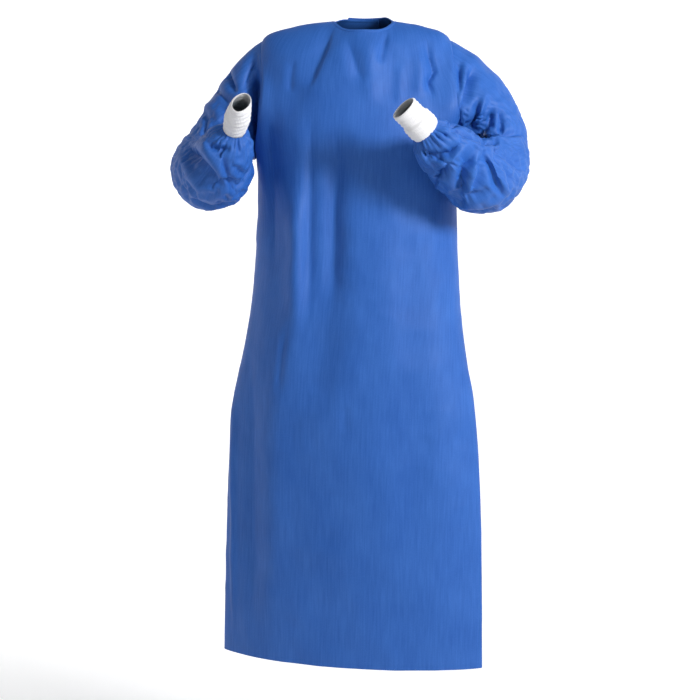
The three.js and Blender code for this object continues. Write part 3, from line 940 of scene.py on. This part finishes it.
@dataclass
class Torso:
    """The front panel and the two back panels, which meet at the shoulders and the sides."""

    form: BodyForm
    wardrobe: Wardrobe
    thickness: float = 0.9 * MM
    flush: float = 20.0
    flush_way: tuple[float, float, float] = (0.25, -0.97, 0.0)
    # How strong the painted shade on the panels' inner side is.
    inner_depth: float = 0.75
    front_rumples: tuple[Rumple, ...] = (Rumple(0.11, 2.2, 11), Rumple(0.045, 0.8, 5))
    back_rumples: tuple[Rumple, ...] = (Rumple(0.09, 2.0, 3),)
    shoulder_rows: int = 34
    armhole_rows: int = 96
    skirt_rows: int = 200
    front_columns: int = 116
    back_columns: int = 66

    def __post_init__(self) -> None:
        """Lays out the panels."""
        self.levels = np.concatenate([
            np.linspace(0, TIP_LEVEL, self.shoulder_rows, endpoint=False),
            np.linspace(TIP_LEVEL, PIT_LEVEL, self.armhole_rows, endpoint=False),
            np.linspace(PIT_LEVEL, HEM_LEVEL, self.skirt_rows + 1),
        ])
        self.panels = {
            "front_panel": self.front(),
            "back_panel_left": self.back(Side.LEFT),
            "back_panel_right": self.back(Side.RIGHT),
        }

    def front(self) -> ClothGrid:
        """The front panel from the wearer's right edge to the left one.

        Its left armhole edge stands forward a little, as far as flush says.

        Returns:
            The panel.
        """
        across = np.linspace(-1, 1, self.front_columns + 1)[None, :]
        level = self.levels[:, None]
        grid = ClothGrid(self.form.points(level, self.form.edge_angle(level) * across))
        share = np.clip((level - TIP_LEVEL) / (PIT_LEVEL - TIP_LEVEL), 0, 1)
        flush = self.flush * np.sin(np.pi * share) ** 1.2 * smooth((across - 0.66) / 0.34)
        grid = grid.moved(flush, np.array(self.flush_way))
        keep = smooth((1 - np.abs(across)) / 0.05) * smooth(level / 0.12 + 0.1)
        return self.puckered(grid.creased(FRONT_CREASES, keep).rumpled(self.front_rumples, keep))

    def back(self, side: Side) -> ClothGrid:
        """A back panel from its side seam past the middle.

        Args:
            side: the wearer's side that it is on. The left one lies outside.

        Returns:
            The panel.
        """
        level = self.levels[:, None]
        start = 180 - self.form.edge_angle(level)
        end = 180 + self.form.angle_at(level, self.form.overlap_half(level))
        place = np.linspace(0, 1, self.back_columns + 1)[None, :]
        angle = side.value * (start + (end - start) * place)
        normals = self.form.normals(level, angle)
        lift = self.form.overlap_lift(level, angle) if side is Side.LEFT else 0.0 * angle
        lapped = self.form.angle_at(level, self.form.overlap_half(level))
        clear = smooth((180 - np.abs(angle) - lapped) / 12)
        lift = lift - self.form.folds(BACK_FOLDS, level, angle) * smooth(place / 0.1) * clear
        places = self.form.points(level, angle) + normals * (lift * MM)[..., None]
        keep = smooth(place / 0.08) * clear
        if side is Side.RIGHT:
            places, keep = places[:, ::-1], keep[:, ::-1]
        return self.puckered(ClothGrid(places).rumpled(self.back_rumples, keep))

    def puckered(self, grid: ClothGrid) -> ClothGrid:
        """The grid with a shallow groove and small puckers at its side edges.

        Args:
            grid: the panel.

        Returns:
            The puckered panel.
        """
        across = np.linspace(-1, 1, grid.places.shape[1])[None, :]
        near = np.exp(-(((1 - np.abs(across)) / 0.02) ** 2))
        return grid.moved(near * (0.5 * soft_noise(grid.places, 0.009, 8) - 0.3))

    def armhole(self, side: Side) -> np.ndarray:
        """The armhole's edge, from the shoulder down the front to the armpit and up the back.

        Args:
            side: the wearer's side.

        Returns:
            The places along it.
        """
        rows = slice(self.shoulder_rows, self.shoulder_rows + self.armhole_rows + 1)
        left = side is Side.LEFT
        front = self.panels["front_panel"].places[rows, -1 if left else 0]
        back = self.panels[f"back_panel_{side.name.lower()}"].places[rows, 0 if left else -1]
        return np.concatenate([front, back[1:-1][::-1]])

    def build(self) -> None:
        """Makes the three panels."""
        widths = {"front_panel": 0.62, "back_panel_left": 0.40, "back_panel_right": 0.40}
        for name, grid in self.panels.items():
            # Painted shade on the panels' inner side, fading in below the neck.
            deep = self.inner_depth * smooth(self.levels[:, None] / 0.5 + 0.1) * np.ones(grid.places.shape[1])
            piece = self.wardrobe.wall(f"{name}_cloth", grid, self.thickness, Weave.NONWOVEN, name, deep)
            min(grid.area(), widths[name] * 1.26)


RIGHT_CREASES = (
    Crease(((-335, -219), (-302, -262), (-269, -319)), 13.0, 7.7, 46.2, way=(0, -1, 0)),
    Crease(((-204, -54), (-210, -127), (-215, -204), (-221, -310)), 55.0, 17.3, 7.7, front=-0.135,
           way=(0, 1, 0)),
    Crease(((-200, -38), (-219, -81), (-237, -131)), 9.0, 9.6, 7.7, front=-0.12),
    Crease(((-277, -73), (-263, -102), (-252, -135)), 11.0, 9.6, 4.8, front=-0.12),
    Crease(((-302, -115), (-281, -135), (-262, -154)), 7.0, 5.8, 7.7, front=-0.12),
    Crease(((-323, -146), (-300, -162), (-273, -181)), -4.0, 9.6, 9.6, front=-0.12, sharp=0.0),
    Crease(((-308, -165), (-312, -192), (-317, -223)), 6.0, 5.8, 5.8),
    Crease(((-319, -185), (-333, -204), (-350, -219)), 7.0, 5.8, 5.8),
    Crease(((-350, -223), (-327, -265), (-288, -308)), 24.0, 21.2, 7.7),
    Crease(((-323, -219), (-304, -254), (-273, -292)), -5.0, 9.6, 11.5, sharp=0.0),
    Crease(((-365, -242), (-342, -288), (-312, -323)), -5.0, 9.6, 9.6, sharp=0.0),
    Crease(((-317, -227), (-292, -240), (-262, -242)), 8.0, 7.7, 5.8),
    Crease(((-381, -273), (-363, -308), (-338, -333)), 4.0, 7.7, 9.6),
    Crease(((-281, -258), (-269, -292), (-262, -323)), 5.0, 9.6, 9.6),
    Crease(((-315, -312), (-285, -304), (-250, -296)), 4.0, 5.8, 7.7),
)

LEFT_CREASES = (
    Crease(((212, -242), (202, -292), (190, -346)), -7.0, 9.6, 11.5, sharp=0.7),
    Crease(((227, -242), (248, -292), (273, -335)), -6.0, 9.6, 11.5, sharp=0.7),
    Crease(((196, -227), (162, -262), (123, -281)), -6.0, 9.6, 9.6, sharp=0.6),
    Crease(((183, -65), (185, -115), (175, -162)), -7.0, 7.7, 7.7, sharp=0.7),
    Crease(((158, -65), (162, -115), (165, -154)), -6.0, 5.8, 5.8, sharp=0.7),
    Crease(((227, -123), (215, -165), (196, -204)), -7.0, 9.6, 7.7, sharp=0.7),
    Crease(((219, -217), (262, -219), (304, -223)), -5.0, 5.8, 5.8, sharp=0.6),
    Crease(((146, -73), (156, -108), (163, -150)), 11.0, 7.7, 4.8),
    Crease(((171, -69), (173, -100), (169, -138)), 13.0, 7.7, 4.8),
    Crease(((202, -77), (192, -123), (175, -169)), 17.0, 6.7, 11.5),
    Crease(((152, -183), (167, -200), (192, -212), (231, -227)), 22.0, 6.7, 6.7),
    Crease(((171, -154), (167, -177), (163, -204)), 20.0, 9.6, 7.7),
    Crease(((213, -138), (206, -177), (192, -212)), 12.0, 7.7, 5.8),
    Crease(((244, -158), (231, -187), (196, -213)), 14.0, 5.8, 8.7),
    Crease(((248, -162), (254, -185), (254, -208)), 7.0, 5.8, 5.8),
    Crease(((196, -215), (246, -206), (300, -210)), 12.0, 5.8, 5.8),
    Crease(((208, -223), (229, -227), (254, -225)), 14.0, 5.8, 6.7),
    Crease(((235, -227), (269, -254), (308, -285)), 12.0, 5.8, 11.5),
    Crease(((215, -235), (185, -285), (173, -350)), 18.0, 13.5, 7.7),
    Crease(((217, -238), (221, -288), (200, -338)), 12.0, 7.7, 11.5),
    Crease(((219, -238), (240, -285), (263, -338)), 13.0, 9.6, 8.7),
    Crease(((229, -233), (262, -273), (290, -319)), 8.0, 7.7, 7.7),
    Crease(((185, -221), (154, -250), (104, -256)), 12.0, 7.7, 9.6),
    Crease(((96, -238), (127, -256), (158, -271)), 7.0, 4.8, 5.8),
    Crease(((117, -262), (135, -281), (158, -300)), 7.0, 5.8, 5.8),
    Crease(((167, -262), (140, -288), (115, -319)), 7.0, 5.8, 4.8),
    Crease(((127, -312), (173, -344), (242, -313)), 6.0, 7.7, 7.7),
    Crease(((131, -204), (162, -223), (181, -246)), -5.0, 9.6, 9.6, sharp=0.0),
)


@dataclass
class Sleeve:
    """A bent sleeve: its sections from above the elbow to the wrist, and the cuff's axis."""

    side: Side
    wardrobe: Wardrobe
    armhole: np.ndarray
    outward: tuple[float, float, float]
    sections: tuple[ArmSection, ...]
    cuff: tuple[float, float, float]
    slope: float
    creases: tuple[Crease, ...]
    thickness: float = 0.9 * MM
    settling: Settling = Settling()
    rumples: tuple[Rumple, ...] = (Rumple(0.055, 2.2, 21), Rumple(0.026, 0.8, 31))
    cap_rows: int = 60
    arm_rows: int = 108
    gather: float = 0.085

    def __post_init__(self) -> None:
        """Reads the sections and lays out the sleeve."""
        self.table = columns_of(self.sections)
        self.last = len(self.sections) - 1
        self.wrist = self.middle(self.last)
        self.grid = self.laid_out()

    def middle(self, level: float) -> np.ndarray:
        """The sleeve's middle at a level of its sections, in millimetres."""
        return np.array([along(self.table[name], np.array(level)) for name in "xyz"])

    def direction(self, level: float) -> np.ndarray:
        """The sleeve's direction, turning into the cuff's at the wrist.

        Args:
            level: how far down the sleeve, counted in sections.

        Returns:
            The direction.
        """
        run = self.middle(min(level + 0.2, self.last)) - self.middle(max(level - 0.2, 0))
        blend = float(smooth(np.array(level - self.last + 1)))
        return unit(unit(run) * (1 - blend) + unit(np.array(self.cuff, float)) * blend)

    def ring(self, middle: np.ndarray, direction: np.ndarray, across: np.ndarray, deep: np.ndarray,
             turn: np.ndarray) -> np.ndarray:
        """Places around a middle, in metres.

        Args:
            middle: the ring's middle, in millimetres.
            direction: the way it faces.
            across: its radius to the side, in millimetres.
            deep: its radius to the front.
            turn: how far round each place is, in radians.

        Returns:
            The places.
        """
        outward = np.array(self.outward, float)
        outward = unit(outward - direction * (outward @ direction))
        forward = -self.side.value * np.cross(outward, direction)
        out, fore = (across * np.cos(turn))[:, None], (deep * np.sin(turn))[:, None]
        return MM * (middle + out * outward + fore * forward)

    def arm_ring(self, level: float) -> np.ndarray:
        """One ring of the arm, with the pleats that the wrist seam draws in.

        Args:
            level: how far down the sleeve, counted in sections.

        Returns:
            The places around it, in metres.
        """
        turn = 2 * np.pi * np.arange(len(self.armhole)) / len(self.armhole)
        near = math.exp(-(((level - self.last + 0.30) / 0.36) ** 2))
        waves = ((17, 0.6), (23, 2.1), (9, 1.0))
        grow = 1 + self.gather * near * sum(0.5 * np.sin(count * turn + start) for count, start in waves)
        across, deep = (float(along(self.table[name], np.array(level))) for name in ("across", "deep"))
        return self.ring(self.middle(level), self.direction(level), across * grow, deep * grow, turn)

    def laid_out(self) -> ClothGrid:
        """The cap from the armhole to the first section, then the arm, creased and settled.

        Returns:
            The sleeve.
        """
        start, end = self.armhole, self.arm_ring(0.0)
        turn = 2 * np.pi * np.arange(len(start)) / len(start)
        face, flat, low = np.sin(turn), np.abs(np.sin(turn)), (1 - np.cos(turn)) / 2
        drop = self.slope * (1 - low) + 0.3 * low + 0.25 * flat + 0.3 * low ** 3
        leave = unit(np.stack([self.side.value * (0.95 - 0.3 * flat), -0.25 * face, -drop], axis=-1))
        reach = np.linalg.norm(end - start, axis=1, keepdims=True)
        rings = [start * (2 * t ** 3 - 3 * t ** 2 + 1) + leave * reach * (t ** 3 - 2 * t ** 2 + t)
                 + end * (3 * t ** 2 - 2 * t ** 3) + self.direction(0.0) * reach * (t ** 3 - t ** 2)
                 for t in np.linspace(0, 1, self.cap_rows, endpoint=False)]
        rings += [self.arm_ring(level) for level in np.linspace(0, self.last, self.arm_rows)]
        places = np.array(rings)
        grid = ClothGrid(places[:, ::-1] if self.side is Side.LEFT else places, True)
        rows = np.arange(len(places))[:, None] + 0.0 * turn
        keep = smooth(rows / 7) * smooth((len(places) - 1 - rows) / 8)
        grid = grid.creased(self.creases, keep).rumpled(self.rumples, keep)
        inside = smooth((1 - np.cos(turn)) / 1.4)
        free = keep * smooth(rows / (26 + 44 * (1 - inside))) * (0.42 + 0.58 * inside)
        grid = self.settling.settled(grid, free if self.side is Side.RIGHT else free[:, ::-1])
        return grid

    def build(self) -> None:
        """Makes the sleeve."""
        name = f"sleeve_{self.side.name.lower()}"
        piece = self.wardrobe.wall(f"{name}_cloth", self.grid, self.thickness, Weave.NONWOVEN, name)
        min(self.grid.area(), 0.2)


@dataclass
class Cuff:
    """A knit cuff: a ribbed tube from the sleeve's wrist to its open end."""

    sleeve: Sleeve
    rings: tuple[CuffRing, ...]
    thickness: float = 1.3 * MM
    columns: int = 192
    rows: int = 90
    ribs: int = 48
    rib_depth: float = 0.3
    wrinkle: float = 0.45
    wrinkles: float = 46.0
    hem: float = 1.2

    def grid(self) -> ClothGrid:
        """The tube, with its ribs and the faint rings where it is pushed together.

        Returns:
            The tube.
        """
        table = columns_of(self.rings)
        axis = np.array(self.sleeve.cuff, float)
        turn = 2 * np.pi * np.arange(self.columns) / self.columns
        rows = []
        for t in np.linspace(table["at"][0], 1, self.rows):
            across, deep = (np.interp(t, table["at"], table[name]) for name in ("across", "deep"))
            lean = self.wrinkles * t + 1.5 * np.cos(turn) + 0.8 * np.sin(3 * turn)
            relief = self.rib_depth * np.cos(self.ribs * turn)
            relief = relief + self.wrinkle * np.sin(lean)
            hem = -self.hem * math.exp(-(((t - 1) / 0.02) ** 2))
            middle = self.sleeve.wrist + axis * t
            radii = across + relief + hem, deep + relief + hem
            rows.append(self.sleeve.ring(middle, unit(axis), *radii, turn))
        places = np.array(rows)
        return ClothGrid(places[:, ::-1] if self.sleeve.side is Side.LEFT else places, True)

    def build(self) -> None:
        """Makes the cuff."""
        name = f"cuff_{self.sleeve.side.name.lower()}"
        grid = self.grid()
        # Painted shade on the cuff's inner side, darkest towards the sleeve.
        into = np.linspace(1, 0, self.rows)[:, None] * np.ones(self.columns)
        piece = self.sleeve.wardrobe.wall(f"{name}_knit", grid, self.thickness, Weave.KNIT, name,
                                          0.25 + 0.75 * smooth(into / 0.35))


@dataclass
class NeckBinding:
    """A folded strip over the neck's edge, from the inner back panel's end round to the outer one's."""

    torso: Torso
    width: float = 5.0
    leg: float = 0.45
    gap: float = 0.55
    stitch_inset: float = 1.4

    def profile(self) -> np.ndarray:
        """The strip's section.

        Returns:
            For each of its places, how far out of the cloth and how far down, in millimetres.
        """
        outer = self.gap + self.leg
        turn = np.linspace(0, np.pi, 9)
        over = np.stack([outer * np.cos(turn), -0.4 - outer * np.sin(turn)], axis=-1)
        under = np.stack([self.gap * np.cos(turn[::-1]), -0.4 - self.gap * np.sin(turn[::-1])], axis=-1)
        legs = [[outer, self.width * 0.5], [outer, self.width - 0.3], [outer - 0.3, self.width]]
        return np.array([[self.gap, self.width]] + legs[::-1] + over.tolist()
                        + [[-x, y] for x, y in legs] + [[-self.gap, self.width]] + under.tolist())

    def build(self) -> None:
        """Makes the strip and its stitches."""
        names = ("back_panel_right", "front_panel", "back_panel_left")
        parts = [(self.torso.panels[name], first) for name, first in zip(names, (0, 1, 1))]
        edge = np.concatenate([grid.places[0][first:] for grid, first in parts])
        below = np.concatenate([grid.places[3][first:] for grid, first in parts])
        outward = np.concatenate([grid.normals()[0][first:] for grid, first in parts])
        down = unit(below - edge)
        outward = unit(outward - down * (outward * down).sum(axis=1, keepdims=True))
        out, drop = self.profile().T
        offset = out[None, :, None] * outward[:, None] + drop[None, :, None] * down[:, None]
        strip = ClothGrid(edge[:, None] + MM * offset, True)
        length = np.concatenate([[0.0], np.cumsum(np.linalg.norm(np.diff(edge, axis=0), axis=1))])
        round_uv = np.concatenate([drop, drop[:1]]) * MM
        uv = np.stack(np.broadcast_arrays(length[:, None], round_uv[None, :]), axis=-1)
        corners = corners_of(uv).reshape(-1, 4, 2)
        piece = self.torso.wardrobe.piece("neck_binding_cloth", strip.places.reshape(-1, 3), strip.quads(),
                                          corners, Weave.TRIM, "neck_binding")
        path = edge + MM * ((self.gap + self.leg) * outward + (self.width - self.stitch_inset) * down)
        StitchLine(self.torso.wardrobe).sew("neck_stitches", path)


@dataclass
class BackClosure:
    """The touch tape tab under the neck and the tied waist ties."""

    form: BodyForm
    wardrobe: Wardrobe
    seat: float = 1.8
    thickness: float = 0.9 * MM
    tie_width: float = 26.0
    tie_height: float = -480.0
    knot_across: float = -8.0
    near: float = 13.6
    far: float = 130.0
    tail: float = 270.0
    spread: float = 17.0
    knot: tuple[float, float, float] = (27.0, 31.0, 10.0)
    tab: tuple[float, float, float] = (50.0, 32.0, 16.0)
    tab_thickness: float = 1.2 * MM
    tab_seat: float = 1.9
    tab_inset: float = 3.0
    stitch_seat: float = 2.9

    def strip(self, start: tuple[float, float], end: tuple[float, float], seed: int,
              curl: float) -> ClothGrid:
        """A flat strip on the back.

        Args:
            start: the height and the distance across at which it starts, in millimetres.
            end: the same for its other end.
            seed: which curl.
            curl: how far its edges lift, in millimetres.

        Returns:
            The strip.
        """
        t = np.linspace(0, 1, 60)[:, None]
        place = np.linspace(-0.5, 0.5, 15)[None, :]
        run = unit(np.array([end[0] - start[0], end[1] - start[1]]))
        height = start[0] + (end[0] - start[0]) * t + run[1] * place * self.tie_width
        across = start[1] + (end[1] - start[1]) * t - run[0] * place * self.tie_width
        wave = curl * (np.sin(6 * t + seed) * (2 * place) ** 2 + 0.6 * np.sin(9 * t + seed) * place)
        places = self.form.on_back(height, across, self.seat + np.abs(wave) + 0.6 * np.sin(7 * t) ** 2)
        grid = ClothGrid(places)
        return grid if grid.normals()[..., 1].mean() > 0 else ClothGrid(places[:, ::-1])

    def tied(self) -> None:
        """The two ties, their hanging ends and the knot."""
        knot_down = self.tie_height - self.knot[1] / 2
        for side in Side:
            word = side.name.lower()
            near = self.knot_across + side.value * self.near
            routes = {
                f"tie_{word}": ((self.tie_height, self.knot_across + side.value * self.far),
                                (self.tie_height, near), "stretched"),
                f"tail_{word}": ((knot_down, near), (knot_down - self.tail, self.knot_across
                                                     + side.value * self.spread), "hung"),
            }
            for name, (start, end, held) in routes.items():
                grid = self.strip(start, end, 3 + side.value, 0.5 if held == "stretched" else 2.0)
                piece = self.wardrobe.wall(f"{name}_cloth", grid, self.thickness, Weave.NONWOVEN, name)
                grid.area() / (self.tie_width * MM)
        self.knotted()

    def knotted(self) -> None:
        """The knot: a puffed pad with the band that is drawn over it."""
        wide, high, thick = self.knot
        turn = np.linspace(-np.pi / 2, np.pi / 2, 32)[:, None]
        round_ = 2 * np.pi * np.arange(64)[None, :] / 64
        bulge = 1 - 0.16 * np.exp(-((turn - 0.5 * np.sin(round_)) / 0.16) ** 2)
        side = np.sign(np.cos(round_)) * np.abs(np.cos(round_)) ** 0.7
        x = wide / 2 * np.abs(np.cos(turn)) ** 0.55 * side * bulge
        z = high / 2 * np.sign(np.sin(turn)) * np.abs(np.sin(turn)) ** 0.8 * np.ones_like(round_)
        out = thick / 2 * np.abs(np.cos(turn)) ** 0.6 * np.sin(round_) * bulge
        seat = self.seat + 1.5 + thick / 2
        places = self.form.on_back(self.tie_height - z, self.knot_across + x, seat + out)
        grid = ClothGrid(places, True)
        middle = places.mean(axis=(0, 1))
        if (grid.normals() * (places - middle)).sum() < 0:
            grid = ClothGrid(places[:, ::-1], True)
        piece = self.wardrobe.piece("tie_knot_cloth", grid.places.reshape(-1, 3), grid.quads(),
                                    corners_of(grid.cut()).reshape(-1, 4, 2), Weave.NONWOVEN, "tie_knot")

    def build(self) -> None:
        """Makes the tab, its stitches and the ties."""
        wide, high, below = self.tab
        top = BODY_RINGS[0].back - below
        height = top - high * np.linspace(0, 1, 20)[:, None]
        across = wide * np.linspace(0.5, -0.5, 30)[None, :]
        puff = 0.4 * (1 - np.linspace(-1, 1, 20)[:, None] ** 6) * (1 - np.linspace(-1, 1, 30)[None, :] ** 6)
        grid = ClothGrid(self.form.on_back(height, across, self.tab_seat + puff))
        if grid.normals()[..., 1].mean() < 0:
            grid = ClothGrid(grid.places[:, ::-1])
        piece = self.wardrobe.wall("neck_tab_cloth", grid, self.tab_thickness, Weave.TRIM, "neck_tab")
        inset = self.tab_inset
        rows, sides = [top - inset, top - high + inset], [wide / 2 - inset, inset - wide / 2]
        corners = [(rows[0], sides[0]), (rows[0], sides[1]), (rows[1], sides[1]), (rows[1], sides[0])]
        path = np.concatenate([np.linspace(a, b, 20, endpoint=False)
                               for a, b in zip(corners, corners[1:] + corners[:1])] + [[corners[0]]])
        path = self.form.on_back(path[:, 0], path[:, 1], np.full(len(path), self.stitch_seat))
        StitchLine(self.wardrobe).sew("tab_stitches", path)
        self.tied()


@dataclass
class StitchLine:
    """A line of stitches along a path, laid by a node tree."""

    wardrobe: Wardrobe
    pitch: float = 4.0 * MM
    length: float = 2.8 * MM
    radius: float = 0.28 * MM

    def tree(self) -> tuple[bpy.types.NodeTree, dict[str, str]]:
        """The node tree that lays a bead at even steps along a line.

        Returns:
            The tree, and its inputs' identifiers by name.
        """
        tree = bpy.data.node_groups.new("stitch_line", "GeometryNodeTree")
        for way in ("INPUT", "OUTPUT"):
            tree.interface.new_socket("Geometry", in_out=way, socket_type="NodeSocketGeometry")
        names = {}
        for name in ("Pitch", "Length", "Radius"):
            socket = tree.interface.new_socket(name, in_out="INPUT", socket_type="NodeSocketFloat")
            names[name] = socket.identifier
        given, curve, points, bead, size, shape, place, real, finish, made = (
            tree.nodes.new(kind) for kind in (
                "NodeGroupInput", "GeometryNodeMeshToCurve", "GeometryNodeCurveToPoints",
                "GeometryNodeMeshUVSphere", "ShaderNodeCombineXYZ", "GeometryNodeTransform",
                "GeometryNodeInstanceOnPoints", "GeometryNodeRealizeInstances",
                "GeometryNodeSetMaterial", "NodeGroupOutput"))
        points.mode = "LENGTH"
        for name, value in (("Segments", 6), ("Rings", 5), ("Radius", 1.0)):
            bead.inputs[name].default_value = value
        finish.inputs["Material"].default_value = self.wardrobe.finishes[Weave.TRIM]
        for source, output, target, socket in (
                (given, "Geometry", curve, "Mesh"), (curve, "Curve", points, "Curve"),
                (given, "Pitch", points, "Length"), (given, "Radius", size, "X"),
                (given, "Radius", size, "Y"), (given, "Length", size, "Z"),
                (bead, "Mesh", shape, "Geometry"), (size, "Vector", shape, "Scale"),
                (points, "Points", place, "Points"), (points, "Rotation", place, "Rotation"),
                (shape, "Geometry", place, "Instance"), (place, "Instances", real, "Geometry"),
                (real, "Geometry", finish, "Geometry"), (finish, "Geometry", made, "Geometry")):
            tree.links.new(source.outputs[output], target.inputs[socket])
        return tree, names

    def sew(self, name: str, path: np.ndarray) -> bpy.types.Object:
        """Lays stitches along a path.

        Args:
            name: the piece's name.
            path: places along the seam, in metres.

        Returns:
            The piece.
        """
        guide = bpy.data.meshes.new(f"{name}_path")
        guide.from_pydata(path.tolist(), [(index, index + 1) for index in range(len(path) - 1)], [])
        line = bpy.data.objects.new(name, guide)
        bpy.context.scene.collection.objects.link(line)
        tree, names = self.tree()
        modifier = line.modifiers.new("stitches", "NODES")
        modifier.node_group = tree
        values = {"Pitch": self.pitch, "Length": self.length / 2, "Radius": self.radius}
        for word, value in values.items():
            modifier[names[word]] = value
        evaluated = line.evaluated_get(bpy.context.evaluated_depsgraph_get())
        line_mesh = bpy.data.meshes.new_from_object(evaluated)
        line.modifiers.clear()
        line.data = line_mesh
        line_mesh.uv_layers.new(name="cut")
        return self.wardrobe.dressed(line, Weave.TRIM)


@dataclass
class Studio:
    """The pale floor and backdrop, the soft lights and the camera of the photo."""

    floor_height: float = -1.55
    wall_height: float = 5.0
    radius: float = 4.5
    glow: tuple[float, float] = (0.03, 0.52)
    ambient: float = 0.10
    eye: tuple[float, float, float] = (0.0026, -2.918, -0.4508)
    aim: tuple[float, float, float] = (86.617, 0.0, 0.7275)
    lens: float = 78.0
    sensor: float = 36.0

    def build(self) -> None:
        """Makes the floor, lights and camera."""
        self.backdrop()
        self.world()
        self.softbox("key_light", (1.55, -1.5, 0.32), 0.42, 45.0)
        self.softbox("top_light", (0.7, -0.7, 1.6), 0.8, 8.0)
        self.camera()

    def backdrop(self) -> None:
        """A pale round floor that curves up into a wall on all sides."""
        turn = np.linspace(0, np.pi / 2, 10)
        low, bend = self.floor_height, 1.5
        curve = [(self.radius + bend * math.sin(a), low + bend * (1 - math.cos(a))) for a in turn]
        side = [(0.02, low), *curve, (self.radius + bend, self.wall_height)]
        around = 2 * np.pi * np.arange(96) / 96
        places = np.array([[(r * math.cos(a), r * math.sin(a), z) for a in around] for r, z in side])
        faces = [list(range(len(around))), *ClothGrid(places, True).quads().tolist()]
        mesh = bpy.data.meshes.new("floor")
        mesh.from_pydata(places.reshape(-1, 3).tolist(), [], faces)
        mesh.shade_smooth()
        material = bpy.data.materials.new("pale_floor")
        material.use_nodes = True
        tree = material.node_tree
        shader = tree.nodes["Principled BSDF"]
        shader.inputs["Base Color"].default_value = (0.90, 0.90, 0.90, 1)
        shader.inputs["Roughness"].default_value = 0.9
        shader.inputs["Emission Color"].default_value = (1, 1, 1, 1)
        place, split = tree.nodes.new("ShaderNodeTexCoord"), tree.nodes.new("ShaderNodeSeparateXYZ")
        glow = tree.nodes.new("ShaderNodeMapRange")
        tree.links.new(place.outputs["Object"], split.inputs["Vector"])
        tree.links.new(split.outputs["Y"], glow.inputs["Value"])
        for socket, value in zip(("From Min", "From Max", "To Min", "To Max"), (-1.0, 1.5, *self.glow)):
            glow.inputs[socket].default_value = value
        tree.links.new(glow.outputs["Result"], shader.inputs["Emission Strength"])
        mesh.materials.append(material)
        floor = bpy.data.objects.new("floor", mesh)
        bpy.context.scene.collection.objects.link(floor)

    def world(self) -> None:
        """Even pale light from all round."""
        world = bpy.data.worlds.new("studio")
        world.use_nodes = True
        background = world.node_tree.nodes["Background"]
        background.inputs["Color"].default_value = (0.93, 0.96, 1.0, 1)
        background.inputs["Strength"].default_value = self.ambient
        bpy.context.scene.world = world

    def softbox(self, name: str, place: tuple[float, float, float], size: float, power: float) -> None:
        """A square soft light that faces the gown's chest.

        Args:
            name: the light's name.
            place: where it stands, in metres.
            size: how wide it is, in metres.
            power: its power in watts.
        """
        data = bpy.data.lights.new(name, "AREA")
        data.size = size
        data.energy = power
        lamp = bpy.data.objects.new(name, data)
        lamp.location = place
        lamp.rotation_euler = (Vector((0, 0, -0.45)) - Vector(place)).to_track_quat("-Z", "Y").to_euler()
        bpy.context.scene.collection.objects.link(lamp)

    def camera(self) -> None:
        """The photo's camera: in front, a little above the gown's middle, looking slightly down."""
        data = bpy.data.cameras.new("camera")
        data.sensor_width = self.sensor
        data.lens = self.lens
        camera = bpy.data.objects.new("camera", data)
        camera.location = self.eye
        camera.rotation_euler = [math.radians(angle) for angle in self.aim]
        bpy.context.scene.collection.objects.link(camera)
        bpy.context.scene.camera = camera


FINISHES = {
    Weave.NONWOVEN: Nonwoven("blue_nonwoven", (0.014, 0.094, 0.395), (0.036, 0.145, 0.510),
                             0.54, 0.0, 2.1 * MM, 0.10 * MM),
    Weave.TRIM: Nonwoven("blue_trim", (0.017, 0.100, 0.405), (0.040, 0.150, 0.520),
                         0.55, 0.0, 2.1 * MM, 0.06 * MM),
    Weave.KNIT: Finish("white_knit", (0.84, 0.83, 0.85), (0.95, 0.95, 0.96),
                       0.85, 0.10, 1.1 * MM, 0.22 * MM),
}

SLEEVE_SHAPES = {
    Side.RIGHT: {
        "outward": (-0.88, 0, 0.47),
        "sections": (
            ArmSection(-286, -14, -238, 60, 62),
            ArmSection(-302, -38, -271, 67, 66),
            ArmSection(-295, -82, -288, 69, 66),
            ArmSection(-278, -125, -285, 64, 62),
            ArmSection(-264, -168, -268, 52, 53),
            ArmSection(-247, -202, -244, 44, 44),
            ArmSection(-236, -226, -221, 20, 20),
        ),
        "cuff": (17, -49, 43),
        "slope": 0.62,
        "creases": RIGHT_CREASES,
    },
    Side.LEFT: {
        "outward": (0.9, 0, 0.43),
        "sections": (
            ArmSection(240, -16, -234, 62, 62),
            ArmSection(237, -42, -268, 65, 66),
            ArmSection(218, -84, -290, 65, 69),
            ArmSection(193, -126, -289, 66, 67),
            ArmSection(160, -170, -268, 58, 57),
            ArmSection(126, -204, -244, 46, 45),
            ArmSection(100, -228, -220, 23, 21),
        ),
        "cuff": (-38, -28, 34),
        "slope": 0.36,
        "creases": LEFT_CREASES,
    },
}
CUFF_RINGS = {
    Side.RIGHT: (CuffRing(-0.06, 18, 18), CuffRing(0.12, 20, 20), CuffRing(0.45, 22, 22),
                 CuffRing(0.75, 19, 24), CuffRing(1, 15, 26)),
    Side.LEFT: (CuffRing(-0.06, 26, 23), CuffRing(0.1, 28, 24), CuffRing(0.42, 27, 23),
                CuffRing(0.47, 24, 20), CuffRing(1, 24, 17)),
}


def main() -> None:
    """Builds the gown and its studio."""
    logging.basicConfig(level=logging.INFO, format="%(name)s: %(message)s")
    bpy.context.scene.view_settings.view_transform = "Standard"
    wardrobe = Wardrobe({weave: finish.make() for weave, finish in FINISHES.items()})
    form = BodyForm()
    torso = Torso(form, wardrobe)
    torso.build()
    for side, shape in SLEEVE_SHAPES.items():
        sleeve = Sleeve(side, wardrobe, torso.armhole(side), **shape)
        sleeve.build()
        Cuff(sleeve, CUFF_RINGS[side]).build()
    NeckBinding(torso).build()
    BackClosure(form, wardrobe).build()
    Studio().build()


if __name__ == "__main__":
    main()
